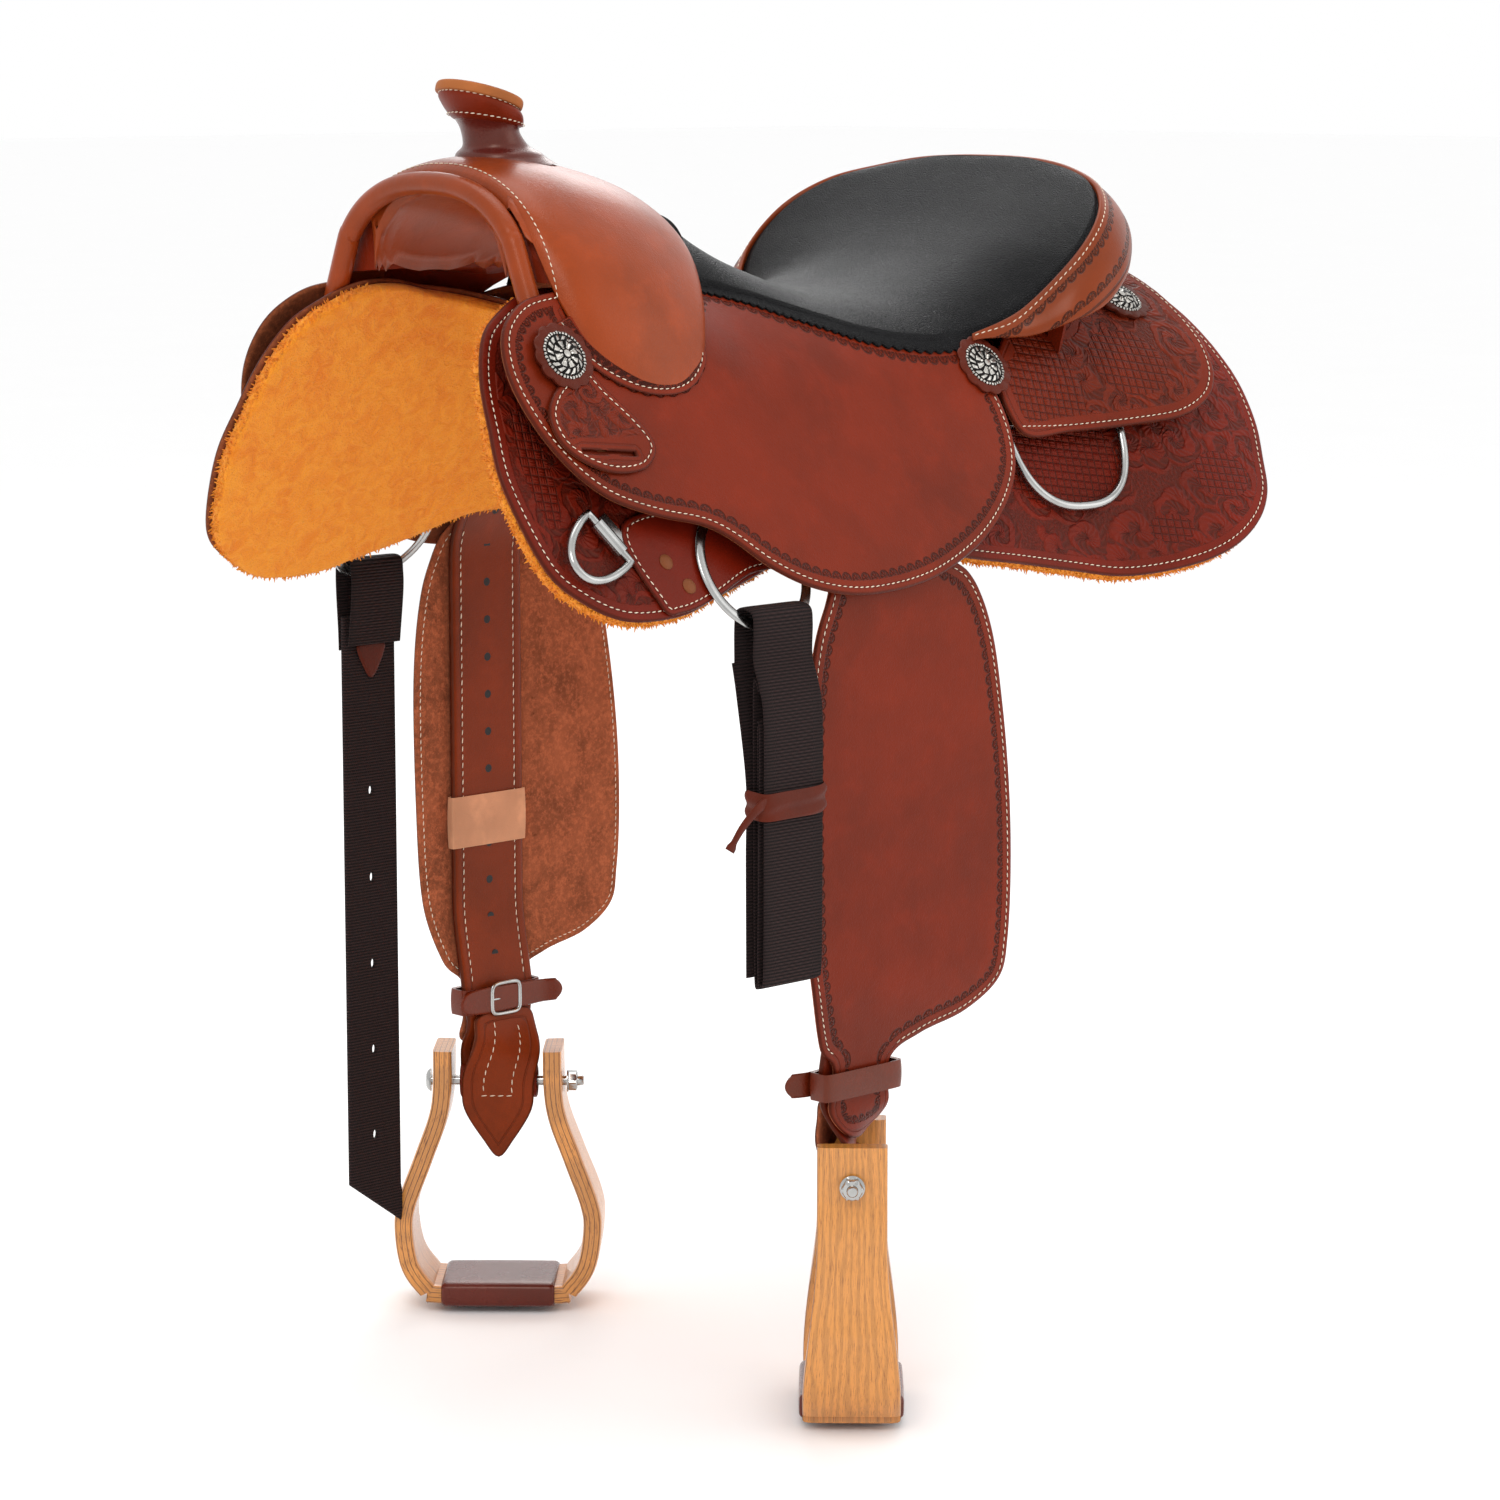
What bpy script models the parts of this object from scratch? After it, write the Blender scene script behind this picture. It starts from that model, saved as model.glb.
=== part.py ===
"""Western pleasure saddle. Built in millimetres and written in metres.

+Z is up, -X is the horse's head, -Y is the near side. The origin is on the
centre line, on the level of the skirts' reference line below the seat.
"""
import bpy
import bmesh
import math
from mathutils import Matrix, Vector

for thing in list(bpy.data.objects):
    bpy.data.objects.remove(thing)

MM = 0.001
GAP = 0.4                    # between pieces that touch
NEAR, OFF = -1, 1

# Section of the horse's back that the saddle is fitted to
SIDE_LEAN = 28.0             # lean of the flat sides from the vertical, degrees
SIDE_Y = 93.0                # half width of the form at z = 0
FRONT_X, MID_FRONT_X = -290.0, -120.0
MID_REAR_X, REAR_X = 125.0, 340.0
FRONT_R, MID_R, REAR_R = 78.0, 145.0, 195.0
REAR_RIDGE = 15.0
REAR_SLOPE = 58.0            # slope of the sides at the rear, degrees
REAR_REFERENCE = 110.5       # arc from the rear ridge to the reference line
CELL_X, CELL_V = 40.0, 36.0  # facets of the leather panels
STRAP_CELL_V = 18.0          # facets along the hanging straps

# Stack of layers, measured out from the form
FLEECE_T, SKIRT_T, PLATE_T = 10.0, 4.5, 2.5
BAR_T, LEATHER_T, FENDER_T = 8.0, 5.0, 3.7
JOCKEY_T, TAB_T = 4.5, 3.5
SKIRT_D = FLEECE_T + GAP
PLATE_D = SKIRT_D + SKIRT_T + GAP
SLEEVE_T = 1.5
RING_D = PLATE_D + PLATE_T + GAP
STRAP_D = SKIRT_D + SKIRT_T + GAP
FENDER_D = STRAP_D + LEATHER_T + SLEEVE_T + 2 * GAP
JOCKEY_D = 31.0
TAB_D = JOCKEY_D + JOCKEY_T + GAP
REAR_JOCKEY_D = 27.5
SEAT_BEND = 3.0

# Fork, horn and cantle
COVER_T = 3.5
HORN_X, HORN_BASE_Z = -240.0, 116.0
HORN_NECK_R, HORN_CORE_R, HORN_CAP_R = 22.0, 12.0, 31.0
HORN_CAP_T, HORN_POST_DROP = 7.0, 22.0
GULLET_ROLL_R = 8.0
ROLL_W, ROLL_T = 50.0, 12.0
ROLL_SLOPE = (17.0, 57.0)     # fall of the roll at the rear and at the sides, degrees
PAD_EDGE_T, PAD_CROWN_T, GROUND_T = 4.0, 12.0, 4.0

# Hanging straps and stirrups
STRAP_X, STRAP_W = -85.0, 70.0
PIVOT_X, PIVOT_V = -70.0, 92.0
BEND_V, BEND_R = 190.0, 60.0
TWIST, STRAP_DRIFT = 45.0, 12.0
TWIST_TOP_Z, BOLT_Z = -545.0, -598.0
ROLLER_R, BOLT_R = 9.0, 4.0
LOOP_T = 4.0
STIRRUP_T, STIRRUP_TOP_W, TREAD_W = 15.0, 50.0, 70.0
STIRRUP_TOP_Z, STIRRUP_WIDER_Z, STIRRUP_BOTTOM_Z = -570.0, -640.0, -769.0
TREAD_WRAP_T, TREAD_HALF = 2.5, 44.0
SLEEVE_Z, SLEEVE_H = -392.0, 40.0
HOBBLE_Z, HOBBLE_H, HOBBLE_T, HOBBLE_SLACK = -531.0, 20.0, 3.0, 1.7
NECK_W, FENDER_TIP_Z, FENDER_END_Z = 56.0, -518.0, -566.0

# Rigging hardware
RING_R, RING_W, RING_T = 50.0, 8.0, 4.0
RING_X, RING_V = -188.0, 186.0
STRAP_GAUGE = 2.6
EYE_IN, EYE_OUT, EYE_DOWN, BODY_OUT = 12.5, 8.5, 8.0, 11.5
LATIGO_W, LATIGO_END_Z, LATIGO_T = 56.0, -440.0, 20.0
BILLET_W, BILLET_END_Z = 50.0, -705.0
BILLET_HOLES, BILLET_HOLE_PITCH = 5, 67.0
CONCHO_R, CONCHO_T, CONCHO_RIM_T = 18.0, 4.5, 1.4
REAR_DEE_X, REAR_DEE_V, REAR_DEE_HALF, REAR_DEE_DEPTH = 162.0, 98.0, 55.0, 68.0
REAR_DEE_WIRE, REAR_DEE_LIFT = 3.4, 2.4
BREAST_DEE_R, BREAST_DEE_DEPTH, BREAST_DEE_WIRE = 22.0, 42.0, 3.0
BREAST_BAR_TOP, BREAST_BAR_END = (-316.0, 141.0), (-300.0, 168.0)

PARTS = bpy.data.collections.new("western_saddle")
CUTTERS = bpy.data.collections.new("cutters")

FINISHES = {
    "leather": ((0.30, 0.085, 0.04), 0.42, 0.0),
    "cover": ((0.38, 0.13, 0.045), 0.36, 0.0),
    "skirting": ((0.19, 0.035, 0.02), 0.5, 0.0),
    "seat": ((0.012, 0.012, 0.014), 0.55, 0.0),
    "fleece": ((0.80, 0.38, 0.08), 0.95, 0.0),
    "tan": ((0.60, 0.30, 0.13), 0.6, 0.0),
    "wrap": ((0.13, 0.02, 0.02), 0.35, 0.0),
    "nylon": ((0.028, 0.018, 0.018), 0.8, 0.0),
    "steel": ((0.75, 0.75, 0.74), 0.28, 1.0),
    "silver": ((0.62, 0.61, 0.58), 0.35, 1.0),
    "oak": ((0.55, 0.26, 0.07), 0.4, 0.0),
    "timber": ((0.50, 0.36, 0.22), 0.8, 0.0),
}


def material(name):
    """One Principled finish, made once."""
    found = bpy.data.materials.get(name)
    if found:
        return found
    colour, roughness, metallic = FINISHES[name]
    made = bpy.data.materials.new(name)
    made.use_nodes = True
    shader = made.node_tree.nodes["Principled BSDF"]
    shader.inputs["Base Color"].default_value = (*colour, 1.0)
    shader.inputs["Roughness"].default_value = roughness
    shader.inputs["Metallic"].default_value = metallic
    return made


def ease(value, low, high):
    """0 before low, 1 after high, smooth between."""
    t = min(max((value - low) / (high - low), 0.0), 1.0)
    return t * t * (3 - 2 * t)


def section(x):
    """Radius, ridge height, side slope and reference arc of the form at x."""
    lean = math.radians(SIDE_LEAN)
    slope = math.pi / 2 - lean
    radius = FRONT_R + (MID_R - FRONT_R) * ease(x, FRONT_X, MID_FRONT_X)
    ridge = SIDE_Y * math.tan(slope) - radius / math.cos(slope) + radius
    tangent = (radius * math.sin(slope) - SIDE_Y) / math.sin(lean)
    reference = radius * slope - tangent
    back = ease(x, MID_REAR_X, REAR_X)
    radius += (REAR_R - radius) * back
    ridge += (REAR_RIDGE - ridge) * back
    slope += (math.radians(REAR_SLOPE) - slope) * back
    reference += (REAR_REFERENCE - reference) * back
    return radius, ridge, slope, reference


def exact_side(x, v, d):
    """Point of the off side: v down the side from the reference line, d out from it."""
    radius, ridge, slope, reference = section(x)
    arc = v + reference
    turn = min(arc / radius, slope)
    run = max(arc - radius * slope, 0.0)
    y = (radius + d) * math.sin(turn) + run * math.cos(slope)
    z = ridge - radius + (radius + d) * math.cos(turn) - run * math.sin(slope)
    return Vector((x, y, z))


def faceted(exact, cell_v):
    """The same surface on common triangles, so that layers laid on it never cross."""
    def place(x, v, d):
        i, j = math.floor(x / CELL_X), math.floor(v / cell_v)
        a, b = x / CELL_X - i, v / cell_v - j
        across = exact((i + 1) * CELL_X, j * cell_v, d)
        along = exact(i * CELL_X, (j + 1) * cell_v, d)
        if a + b <= 1:
            start = exact(i * CELL_X, j * cell_v, d)
            return start + (across - start) * a + (along - start) * b
        end = exact((i + 1) * CELL_X, (j + 1) * cell_v, d)
        return end + (along - end) * (1 - a) + (across - end) * (1 - b)
    return place


side = faceted(exact_side, CELL_V)
LEAN = math.radians(SIDE_LEAN)
BEND_CENTRE_Y = SIDE_Y + BEND_V * math.sin(LEAN) + (STRAP_D - BEND_R) * math.cos(LEAN)
BEND_CENTRE_Z = -BEND_V * math.cos(LEAN) + (STRAP_D - BEND_R) * math.sin(LEAN)
AXIS_Y = BEND_CENTRE_Y + BEND_R + LEATHER_T / 2


def drift_at(z):
    """How far the strap has come in towards the horse at a height."""
    return STRAP_DRIFT * ease(-z, -SLEEVE_Z + 60, -TWIST_TOP_Z)


def twist_at(z):
    """Twist of the hanging strap about its upright axis, in radians."""
    return -math.radians(TWIST) * ease(-z, -TWIST_TOP_Z, -BOLT_Z - ROLLER_R - LOOP_T)


def exact_hang(x, t, d):
    """Point of the off strap: t down the flat side, round the bend, then straight down."""
    if t <= BEND_V:
        y = SIDE_Y + t * math.sin(LEAN) + d * math.cos(LEAN)
        return Vector((x, y, -t * math.cos(LEAN) + d * math.sin(LEAN)))
    turned_by = min((t - BEND_V) / BEND_R, LEAN)
    radius = BEND_R + d - STRAP_D
    y = BEND_CENTRE_Y + radius * math.cos(LEAN - turned_by)
    z = BEND_CENTRE_Z + radius * math.sin(LEAN - turned_by)
    z -= max(t - BEND_V - BEND_R * LEAN, 0.0)
    angle = twist_at(z)
    across, out = x - STRAP_X, y - AXIS_Y
    return Vector((STRAP_X + across * math.cos(angle) - out * math.sin(angle),
                   AXIS_Y - drift_at(z) + across * math.sin(angle) + out * math.cos(angle), z))


hang = faceted(exact_hang, STRAP_CELL_V)


def hang_at(z):
    """How far along the strap the height z lies, below the bend."""
    return BEND_V + BEND_R * LEAN + BEND_CENTRE_Z - z


def side_frame(x, v, d, hand):
    """Place on a side, turned so that local Z is the outward normal and local X is +X."""
    point = exact_side(x, v, d)
    out = (exact_side(x, v, d + 1) - point).normalized()
    point.y *= hand
    out.y *= hand
    across = Vector((1, 0, 0))
    across = (across - out * across.dot(out)).normalized()
    along = out.cross(across)
    frame = Matrix((across, along, out)).transposed().to_4x4()
    frame.translation = point
    return frame


def strap_frame(z, hand, angle):
    """Upright frame on the strap's axis: X across the strap, Y outwards, Z up."""
    across = Vector((math.cos(angle), math.sin(angle) * hand, 0))
    up = Vector((0, 0, 1))
    frame = Matrix((across, up.cross(across), up)).transposed().to_4x4()
    frame.translation = Vector((STRAP_X, (AXIS_Y - drift_at(z)) * hand, z))
    return frame


def height_on_side(x, y, d):
    """Height of the layer d at a plan position, and how far down the side it is."""
    low, high = -section(x)[3], 400.0
    for _ in range(40):
        middle = (low + high) / 2
        if exact_side(x, middle, d).y < abs(y):
            low = middle
        else:
            high = middle
    return exact_side(x, low, d).z, low


def smooth_loop(points, steps=3):
    """Closed Catmull-Rom curve through the points."""
    out = []
    n = len(points)
    for i in range(n):
        p = [Vector(points[(i + k - 1) % n]) for k in range(4)]
        for j in range(steps):
            t = j / steps
            out.append(0.5 * ((2 * p[1]) + (p[2] - p[0]) * t
                              + (2 * p[0] - 5 * p[1] + 4 * p[2] - p[3]) * t * t
                              + (3 * p[1] - p[0] - 3 * p[2] + p[3]) * t ** 3))
    return out


def smooth_run(points, steps):
    """Open Catmull-Rom curve through points of any size."""
    rows = [Vector(p) for p in points]
    rows = [2 * rows[0] - rows[1]] + rows + [2 * rows[-1] - rows[-2]]
    out = []
    for i in range(1, len(rows) - 2):
        p = rows[i - 1:i + 3]
        for j in range(steps):
            t = j / steps
            out.append(0.5 * ((2 * p[1]) + (p[2] - p[0]) * t
                              + (2 * p[0] - 5 * p[1] + 4 * p[2] - p[3]) * t * t
                              + (3 * p[1] - p[0] - 3 * p[2] + p[3]) * t ** 3))
    out.append(rows[-2])
    return out


def finish(name, mesh_data, finish_name, smooth=True):
    """An object in the parts collection from a bmesh in millimetres."""
    bmesh.ops.recalc_face_normals(mesh_data, faces=mesh_data.faces)
    bmesh.ops.scale(mesh_data, vec=(MM, MM, MM), verts=mesh_data.verts)
    mesh = bpy.data.meshes.new(name)
    mesh_data.to_mesh(mesh)
    mesh_data.free()
    if smooth:
        mesh.shade_smooth()
        mesh.set_sharp_from_angle(angle=math.radians(35))
    thing = bpy.data.objects.new(name, mesh)
    thing.data.materials.append(material(finish_name))
    PARTS.objects.link(thing)
    return thing


def cutter(thing):
    """Marks an object as a cutter, which is not a part."""
    PARTS.objects.unlink(thing)
    CUTTERS.objects.link(thing)
    thing.hide_render = True
    thing.display_type = "WIRE"
    return thing


def combine(thing, other, operation):
    """Boolean modifier with the exact solver."""
    modifier = thing.modifiers.new(operation.lower(), "BOOLEAN")
    modifier.operation = operation
    modifier.solver = "EXACT"
    modifier.object = other


def side_name(hand, name):
    return ("near_" if hand == NEAR else "off_") + name


def panel(name, outline, depth, thickness, hand, finish_name, holes=(), place=side,
          cell_v=CELL_V):
    """A leather panel cut from a flat outline and laid on the side at a depth."""
    flat = bmesh.new()
    loops = [outline, *holes]
    edges = []
    for loop in loops:
        verts = [flat.verts.new((p[0], p[1], 0)) for p in loop]
        edges += [flat.edges.new((verts[i], verts[(i + 1) % len(verts)])) for i in range(len(verts))]
    bmesh.ops.triangle_fill(flat, edges=edges, use_beauty=True, use_dissolve=False)
    bmesh.ops.dissolve_limit(flat, angle_limit=0.01, verts=flat.verts, edges=flat.edges,
                             delimit={"NORMAL"})
    for normal in (Vector((1 / CELL_X, 0, 0)), Vector((0, 1 / cell_v, 0)),
                   Vector((1 / CELL_X, 1 / cell_v, 0))):
        reach = [normal.dot(v.co) for v in flat.verts]
        for k in range(math.ceil(min(reach)), math.floor(max(reach)) + 1):
            bmesh.ops.bisect_plane(flat, geom=flat.verts[:] + flat.edges[:] + flat.faces[:],
                                   dist=1e-4, plane_co=normal * k / normal.length_squared,
                                   plane_no=normal)
    bmesh.ops.remove_doubles(flat, verts=flat.verts, dist=0.2)
    bmesh.ops.triangulate(flat, faces=flat.faces)
    depth_at = depth if callable(depth) else (lambda x, v: depth)
    solid = bmesh.new()
    low, high = {}, {}
    for vert in flat.verts:
        x, v = vert.co.x, vert.co.y
        for level, table in ((0.0, low), (thickness, high)):
            point = place(x, v, depth_at(x, v) + level)
            point.y *= hand
            table[vert] = solid.verts.new(point)
    for face in flat.faces:
        solid.faces.new([high[v] for v in face.verts])
        solid.faces.new([low[v] for v in reversed(face.verts)])
    for edge in flat.edges:
        if edge.is_boundary:
            a, b = edge.verts
            solid.faces.new((low[a], low[b], high[b], high[a]))
    flat.free()
    bmesh.ops.triangulate(solid, faces=solid.faces)
    return finish(name, solid, finish_name)


def loft(name, rings, finish_name, smooth=True, closed=False):
    """A closed solid through rings of equally many points; the ends are capped."""
    body = bmesh.new()
    rows = [[body.verts.new(p) for p in ring] for ring in rings]
    count = len(rings[0])
    pairs = list(zip(rows, rows[1:])) + ([(rows[-1], rows[0])] if closed else [])
    for row, following in pairs:
        for i in range(count):
            j = (i + 1) % count
            body.faces.new((row[i], row[j], following[j], following[i]))
    if not closed:
        body.faces.new(rows[0])
        body.faces.new(rows[-1])
    bmesh.ops.triangulate(body, faces=body.faces)
    return finish(name, body, finish_name, smooth)


def tube(name, points, radius, finish_name, cyclic=False, resolution=2):
    """A wire along points, from a curve with a round bevel, made a welded mesh."""
    curve = bpy.data.curves.new(name + "_path", "CURVE")
    curve.dimensions = "3D"
    curve.bevel_depth = radius * MM
    curve.bevel_resolution = resolution
    curve.use_fill_caps = True
    spline = curve.splines.new("POLY")
    spline.points.add(len(points) - 1)
    for at, point in zip(spline.points, points):
        at.co = (point[0] * MM, point[1] * MM, point[2] * MM, 1)
    spline.use_cyclic_u = cyclic
    guide = bpy.data.objects.new(name + "_path", curve)
    bpy.context.scene.collection.objects.link(guide)
    depsgraph = bpy.context.evaluated_depsgraph_get()
    mesh = bpy.data.meshes.new_from_object(guide.evaluated_get(depsgraph))
    body = bmesh.new()
    body.from_mesh(mesh)
    bpy.data.objects.remove(guide)
    bmesh.ops.remove_doubles(body, verts=body.verts, dist=1e-6)
    bmesh.ops.scale(body, vec=(1 / MM,) * 3, verts=body.verts)
    return finish(name, body, finish_name)


def turned(name, profile, frame, finish_name, sides=28):
    """A closed profile of (radius, height) turned about the frame's Z."""
    body = bmesh.new()
    verts = [body.verts.new((r, 0, h)) for r, h in profile]
    for a, b in zip(verts, verts[1:] + verts[:1]):
        if max((a.co.x, b.co.x)) > 1e-6:
            body.edges.new((a, b))
    bmesh.ops.spin(body, geom=body.verts[:] + body.edges[:], cent=(0, 0, 0), axis=(0, 0, 1),
                   angle=2 * math.pi, steps=sides, use_merge=True)
    bmesh.ops.remove_doubles(body, verts=body.verts, dist=1e-3)
    bmesh.ops.triangulate(body, faces=body.faces)
    bmesh.ops.transform(body, matrix=frame, verts=body.verts)
    return finish(name, body, finish_name)


def box(name, low, high, frame, finish_name, bevel=0.0):
    """A box between two corners in a frame."""
    body = bmesh.new()
    size = [high[i] - low[i] for i in range(3)]
    middle = [(high[i] + low[i]) / 2 for i in range(3)]
    bmesh.ops.create_cube(body, size=1.0)
    bmesh.ops.scale(body, vec=size, verts=body.verts)
    bmesh.ops.translate(body, vec=middle, verts=body.verts)
    if bevel:
        bmesh.ops.bevel(body, geom=body.edges[:], offset=bevel, segments=1, affect="EDGES")
    bmesh.ops.transform(body, matrix=frame, verts=body.verts)
    return finish(name, body, finish_name, smooth=False)


def plate(name, loops, thickness, frame, finish_name):
    """A flat plate from outlines (the first solid, the rest holes), centred on z = 0."""
    curve = bpy.data.curves.new(name + "_outline", "CURVE")
    curve.dimensions = "2D"
    curve.fill_mode = "BOTH"
    curve.extrude = thickness / 2 * MM
    for loop in loops:
        spline = curve.splines.new("POLY")
        spline.points.add(len(loop) - 1)
        for at, point in zip(spline.points, loop):
            at.co = (point[0] * MM, point[1] * MM, 0, 1)
        spline.use_cyclic_u = True
    guide = bpy.data.objects.new(name + "_outline", curve)
    bpy.context.scene.collection.objects.link(guide)
    depsgraph = bpy.context.evaluated_depsgraph_get()
    mesh = bpy.data.meshes.new_from_object(guide.evaluated_get(depsgraph))
    body = bmesh.new()
    body.from_mesh(mesh)
    bpy.data.objects.remove(guide)
    bmesh.ops.remove_doubles(body, verts=body.verts, dist=1e-6)
    bmesh.ops.scale(body, vec=(1 / MM,) * 3, verts=body.verts)
    bmesh.ops.transform(body, matrix=frame, verts=body.verts)
    return finish(name, body, finish_name)


# Fork: each row is top x, top z, foot x, foot half width, foot z
FORK_ROWS = [
    (-300, 111, -301, 106, 32), (-292, 118, -294, 124, 8), (-272, 122, -283, 139, -12),
    (-243, 122, -250, 151, -32), (-205, 116, -222, 154, -36), (-165, 106, -203, 151, -32),
    (-141, 96, -187, 144, -18), (-128, 88, -173, 127, 12),
]
FRONT_FULLNESS, REAR_FULLNESS = 2.3, 1.7
FORK_POINTS = 16
FOOT_REACH = 14.0

# Seat: each row is edge x, edge half width, edge z, centre x, centre z.
# Where the half width is None the edge lies on the jockey, and edge z is the place v down the side.
SEAT_ROWS = [
    (-154, None, -8, -121, 80), (-133, None, -18, -104, 67), (-101, None, -7, -77, 49),
    (-71, None, 8, -45, 35), (-40, None, 21, -15, 25), (-6, None, 33, 20, 20),
    (45, None, 41, 62, 20), (92, None, 40, 105, 29), (130, 152, 6, 145, 43),
    (165, 170, 43, 182, 63), (196, 166, 73, 212, 84), (222, 142, 94, 232, 99),
    (240, 104, 105, 245, 109), (248, 60, 112, 251, 113),
]
SEAT_ACROSS = 12
RIM_FIRST = 7


def seat_edge(row):
    """Top of the seat's off edge for one row."""
    x, half, z = row[0], row[1], row[2]
    if half is None:
        return exact_side(x, z, TAB_D + PAD_EDGE_T)
    return Vector((x, half, z))


def seat_ring(row, top, bottom, reach=1.0):
    """Closed cross-section: the dish from near to off, lowered by top, and back lowered by bottom."""
    edge = seat_edge(row)
    centre = Vector((row[3], 0, row[4]))

    def at(q, drop):
        bend = abs(q) ** SEAT_BEND
        x = centre.x + (edge.x - centre.x) * bend
        z = centre.z + (edge.z - centre.z) * bend
        return Vector((x, q * edge.y, z - drop(q)))

    steps = [reach * (2 * i / SEAT_ACROSS - 1) for i in range(SEAT_ACROSS + 1)]
    return [at(q, top) for q in steps] + [at(q, bottom) for q in reversed(steps)]


def crown(q):
    return PAD_EDGE_T + PAD_CROWN_T * (1 - q * q)


def fork_ring(row, inset, fullness):
    """Arch of the fork from the near foot over the top to the off foot, closed underneath."""
    top_x, top_z, foot_x, half, foot_z = row
    ring = []
    for i in range(FORK_POINTS + 1):
        angle = math.pi * i / FORK_POINTS
        across, up = -math.cos(angle), math.sin(angle)
        y = (half - inset) * math.copysign(abs(across) ** (2 / fullness), across)
        lift = up ** (2 / fullness)
        z = foot_z - FOOT_REACH + (top_z - inset - foot_z + FOOT_REACH) * lift
        x = top_x + (foot_x - top_x) * (1 - lift)
        ring.append(Vector((x, y, z)))
    return ring


def fork_solid(name, inset):
    """Solid fork, smaller all round by the inset."""
    rows = smooth_run(FORK_ROWS, 2)
    rings = []
    for i, row in enumerate(rows):
        push = inset * (1 - 2 * i / (len(rows) - 1))
        fullness = FRONT_FULLNESS + (REAR_FULLNESS - FRONT_FULLNESS) * i / (len(rows) - 1)
        rings.append([p + Vector((push, 0, 0)) for p in fork_ring(row, inset, fullness)])
    return loft(name, rings, "timber")


GULLET_ARCH = [(72, 42), (70, 52), (62, 72), (42, 89), (22, 97), (0, 99)]
FORM_TOP_Z, GULLET_FALL = 38.0, 0.52
FORM_MARGIN, FORM_SIDE_V = 16.0, 150.0


def form_solid(name, depth, first_x, last_x):
    """The space of the horse and of the layers below a depth, as a cutter."""
    rings = []
    steps = round((last_x - first_x) / CELL_X * 2)
    for i in range(steps + 1):
        x = first_x + CELL_X / 2 * i
        low, high = -section(x)[3], FORM_SIDE_V
        for _ in range(30):
            middle = (low + high) / 2
            if exact_side(x, middle, depth).z > FORM_TOP_Z:
                low = middle
            else:
                high = middle
        base = [side(x, FORM_SIDE_V + (high - FORM_SIDE_V) * k / 10, depth) for k in range(11)]
        rise = 1 - GULLET_FALL * ease(x, FORK_ROWS[0][0], FORK_ROWS[-1][0])
        arch = [(y, FORM_TOP_Z + (z - FORM_TOP_Z) * rise) for y, z in GULLET_ARCH]
        profile = [(base[0].y, -400.0)] + [(p.y, p.z) for p in base] + arch
        left = [Vector((x, -y, z)) for y, z in profile]
        right = [Vector((x, y, z)) for y, z in reversed(profile[:-1])]
        rings.append(left + right)
    return cutter(loft(name, rings, "timber"))


def rim(t):
    """Rim of the cantle at t from -1 (near corner) to 1 (off corner), with its outward direction."""
    rows = SEAT_ROWS[RIM_FIRST:]
    points = [seat_edge(r) for r in rows]
    last = rows[-1]
    points.append(Vector((last[3] + 1.0, 0, last[4] + 1.0)))
    place = (1 - abs(t)) * (len(points) - 1)
    mirrored = points + [Vector((p.x, -p.y, p.z)) for p in reversed(points[:-1])]
    i = min(int(place), len(points) - 2)
    f = place - i
    before = mirrored[i - 1] if i else 2 * mirrored[0] - mirrored[1]
    p = [before, mirrored[i], mirrored[i + 1], mirrored[i + 2]]
    point = 0.5 * ((2 * p[1]) + (p[2] - p[0]) * f
                   + (2 * p[0] - 5 * p[1] + 4 * p[2] - p[3]) * f * f
                   + (3 * p[1] - p[0] - 3 * p[2] + p[3]) * f ** 3)
    tangent = 0.5 * ((p[2] - p[0]) + 2 * (2 * p[0] - 5 * p[1] + 4 * p[2] - p[3]) * f
                     + 3 * (3 * p[1] - p[0] - 3 * p[2] + p[3]) * f * f)
    out = Vector((-tangent.y, tangent.x, 0)).normalized()
    if t < 0:
        point.y, out.y = -point.y, -out.y
    return point, out


SKIRT_OUTLINE = [
    (-303, -29), (-333, -14), (-351, 2), (-365, 32), (-372, 67), (-377, 110), (-366, 168),
    (-345, 194), (-310, 212), (-262, 213), (-225, 203), (-180, 190), (-120, 172), (-45, 176),
    (25, 194), (80, 204), (132, 214), (180, 223), (232, 221), (276, 211), (312, 192),
    (336, 168), (348, 140), (358, 110), (360, 77), (356, 40), (353, 5), (350, -36), (346, -103),
    (262, -94), (225, -76), (180, -46), (130, -6), (100, 18), (60, 26), (0, 24), (-60, 8),
    (-140, -12),
    (-220, -22), (-270, -32),
]
FLEECE_MARGIN = 3.0
JOCKEY_EDGE = [
    (-294, -20), (-322, -15), (-342, -3), (-354, 13), (-359, 36), (-356, 61), (-345, 90),
    (-328, 115), (-305, 134), (-270, 148), (-235, 157), (-213, 169), (-185, 193), (-154, 210),
    (-119, 219), (-82, 220), (-41, 215), (-4, 204), (33, 187), (65, 164), (87, 138),
    (96, 112), (97, 88), (93, 66),
]
REAR_JOCKEY_EDGE = [
    (300, -104), (312, -40), (319, 0), (322, 30), (322, 52), (314, 76), (296, 94), (268, 106),
    (230, 110), (164, 112), (112, 110),
]
REAR_JOCKEY_FRONT = (103, 60)
RIGGING_OUTLINE = [(-285, 142), (-150, 142), (-148, 182), (-190, 190), (-225, 203), (-262, 212),
                   (-280, 205)]
TAB_OUTLINE = [(-295, 40), (-322, 50), (-339, 69), (-338, 91), (-322, 107), (-299, 116),
               (-273, 115), (-258, 104), (-257, 92), (-266, 76), (-282, 56)]
TAB_SLOT = [(-322, 97), (-276, 102), (-276, 105), (-322, 100)]
BAR_OUTLINE = [(-262, 22), (-180, 20), (70, 20), (84, 30), (80, 58), (40, 62), (-220, 62),
               (-258, 52)]
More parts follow.
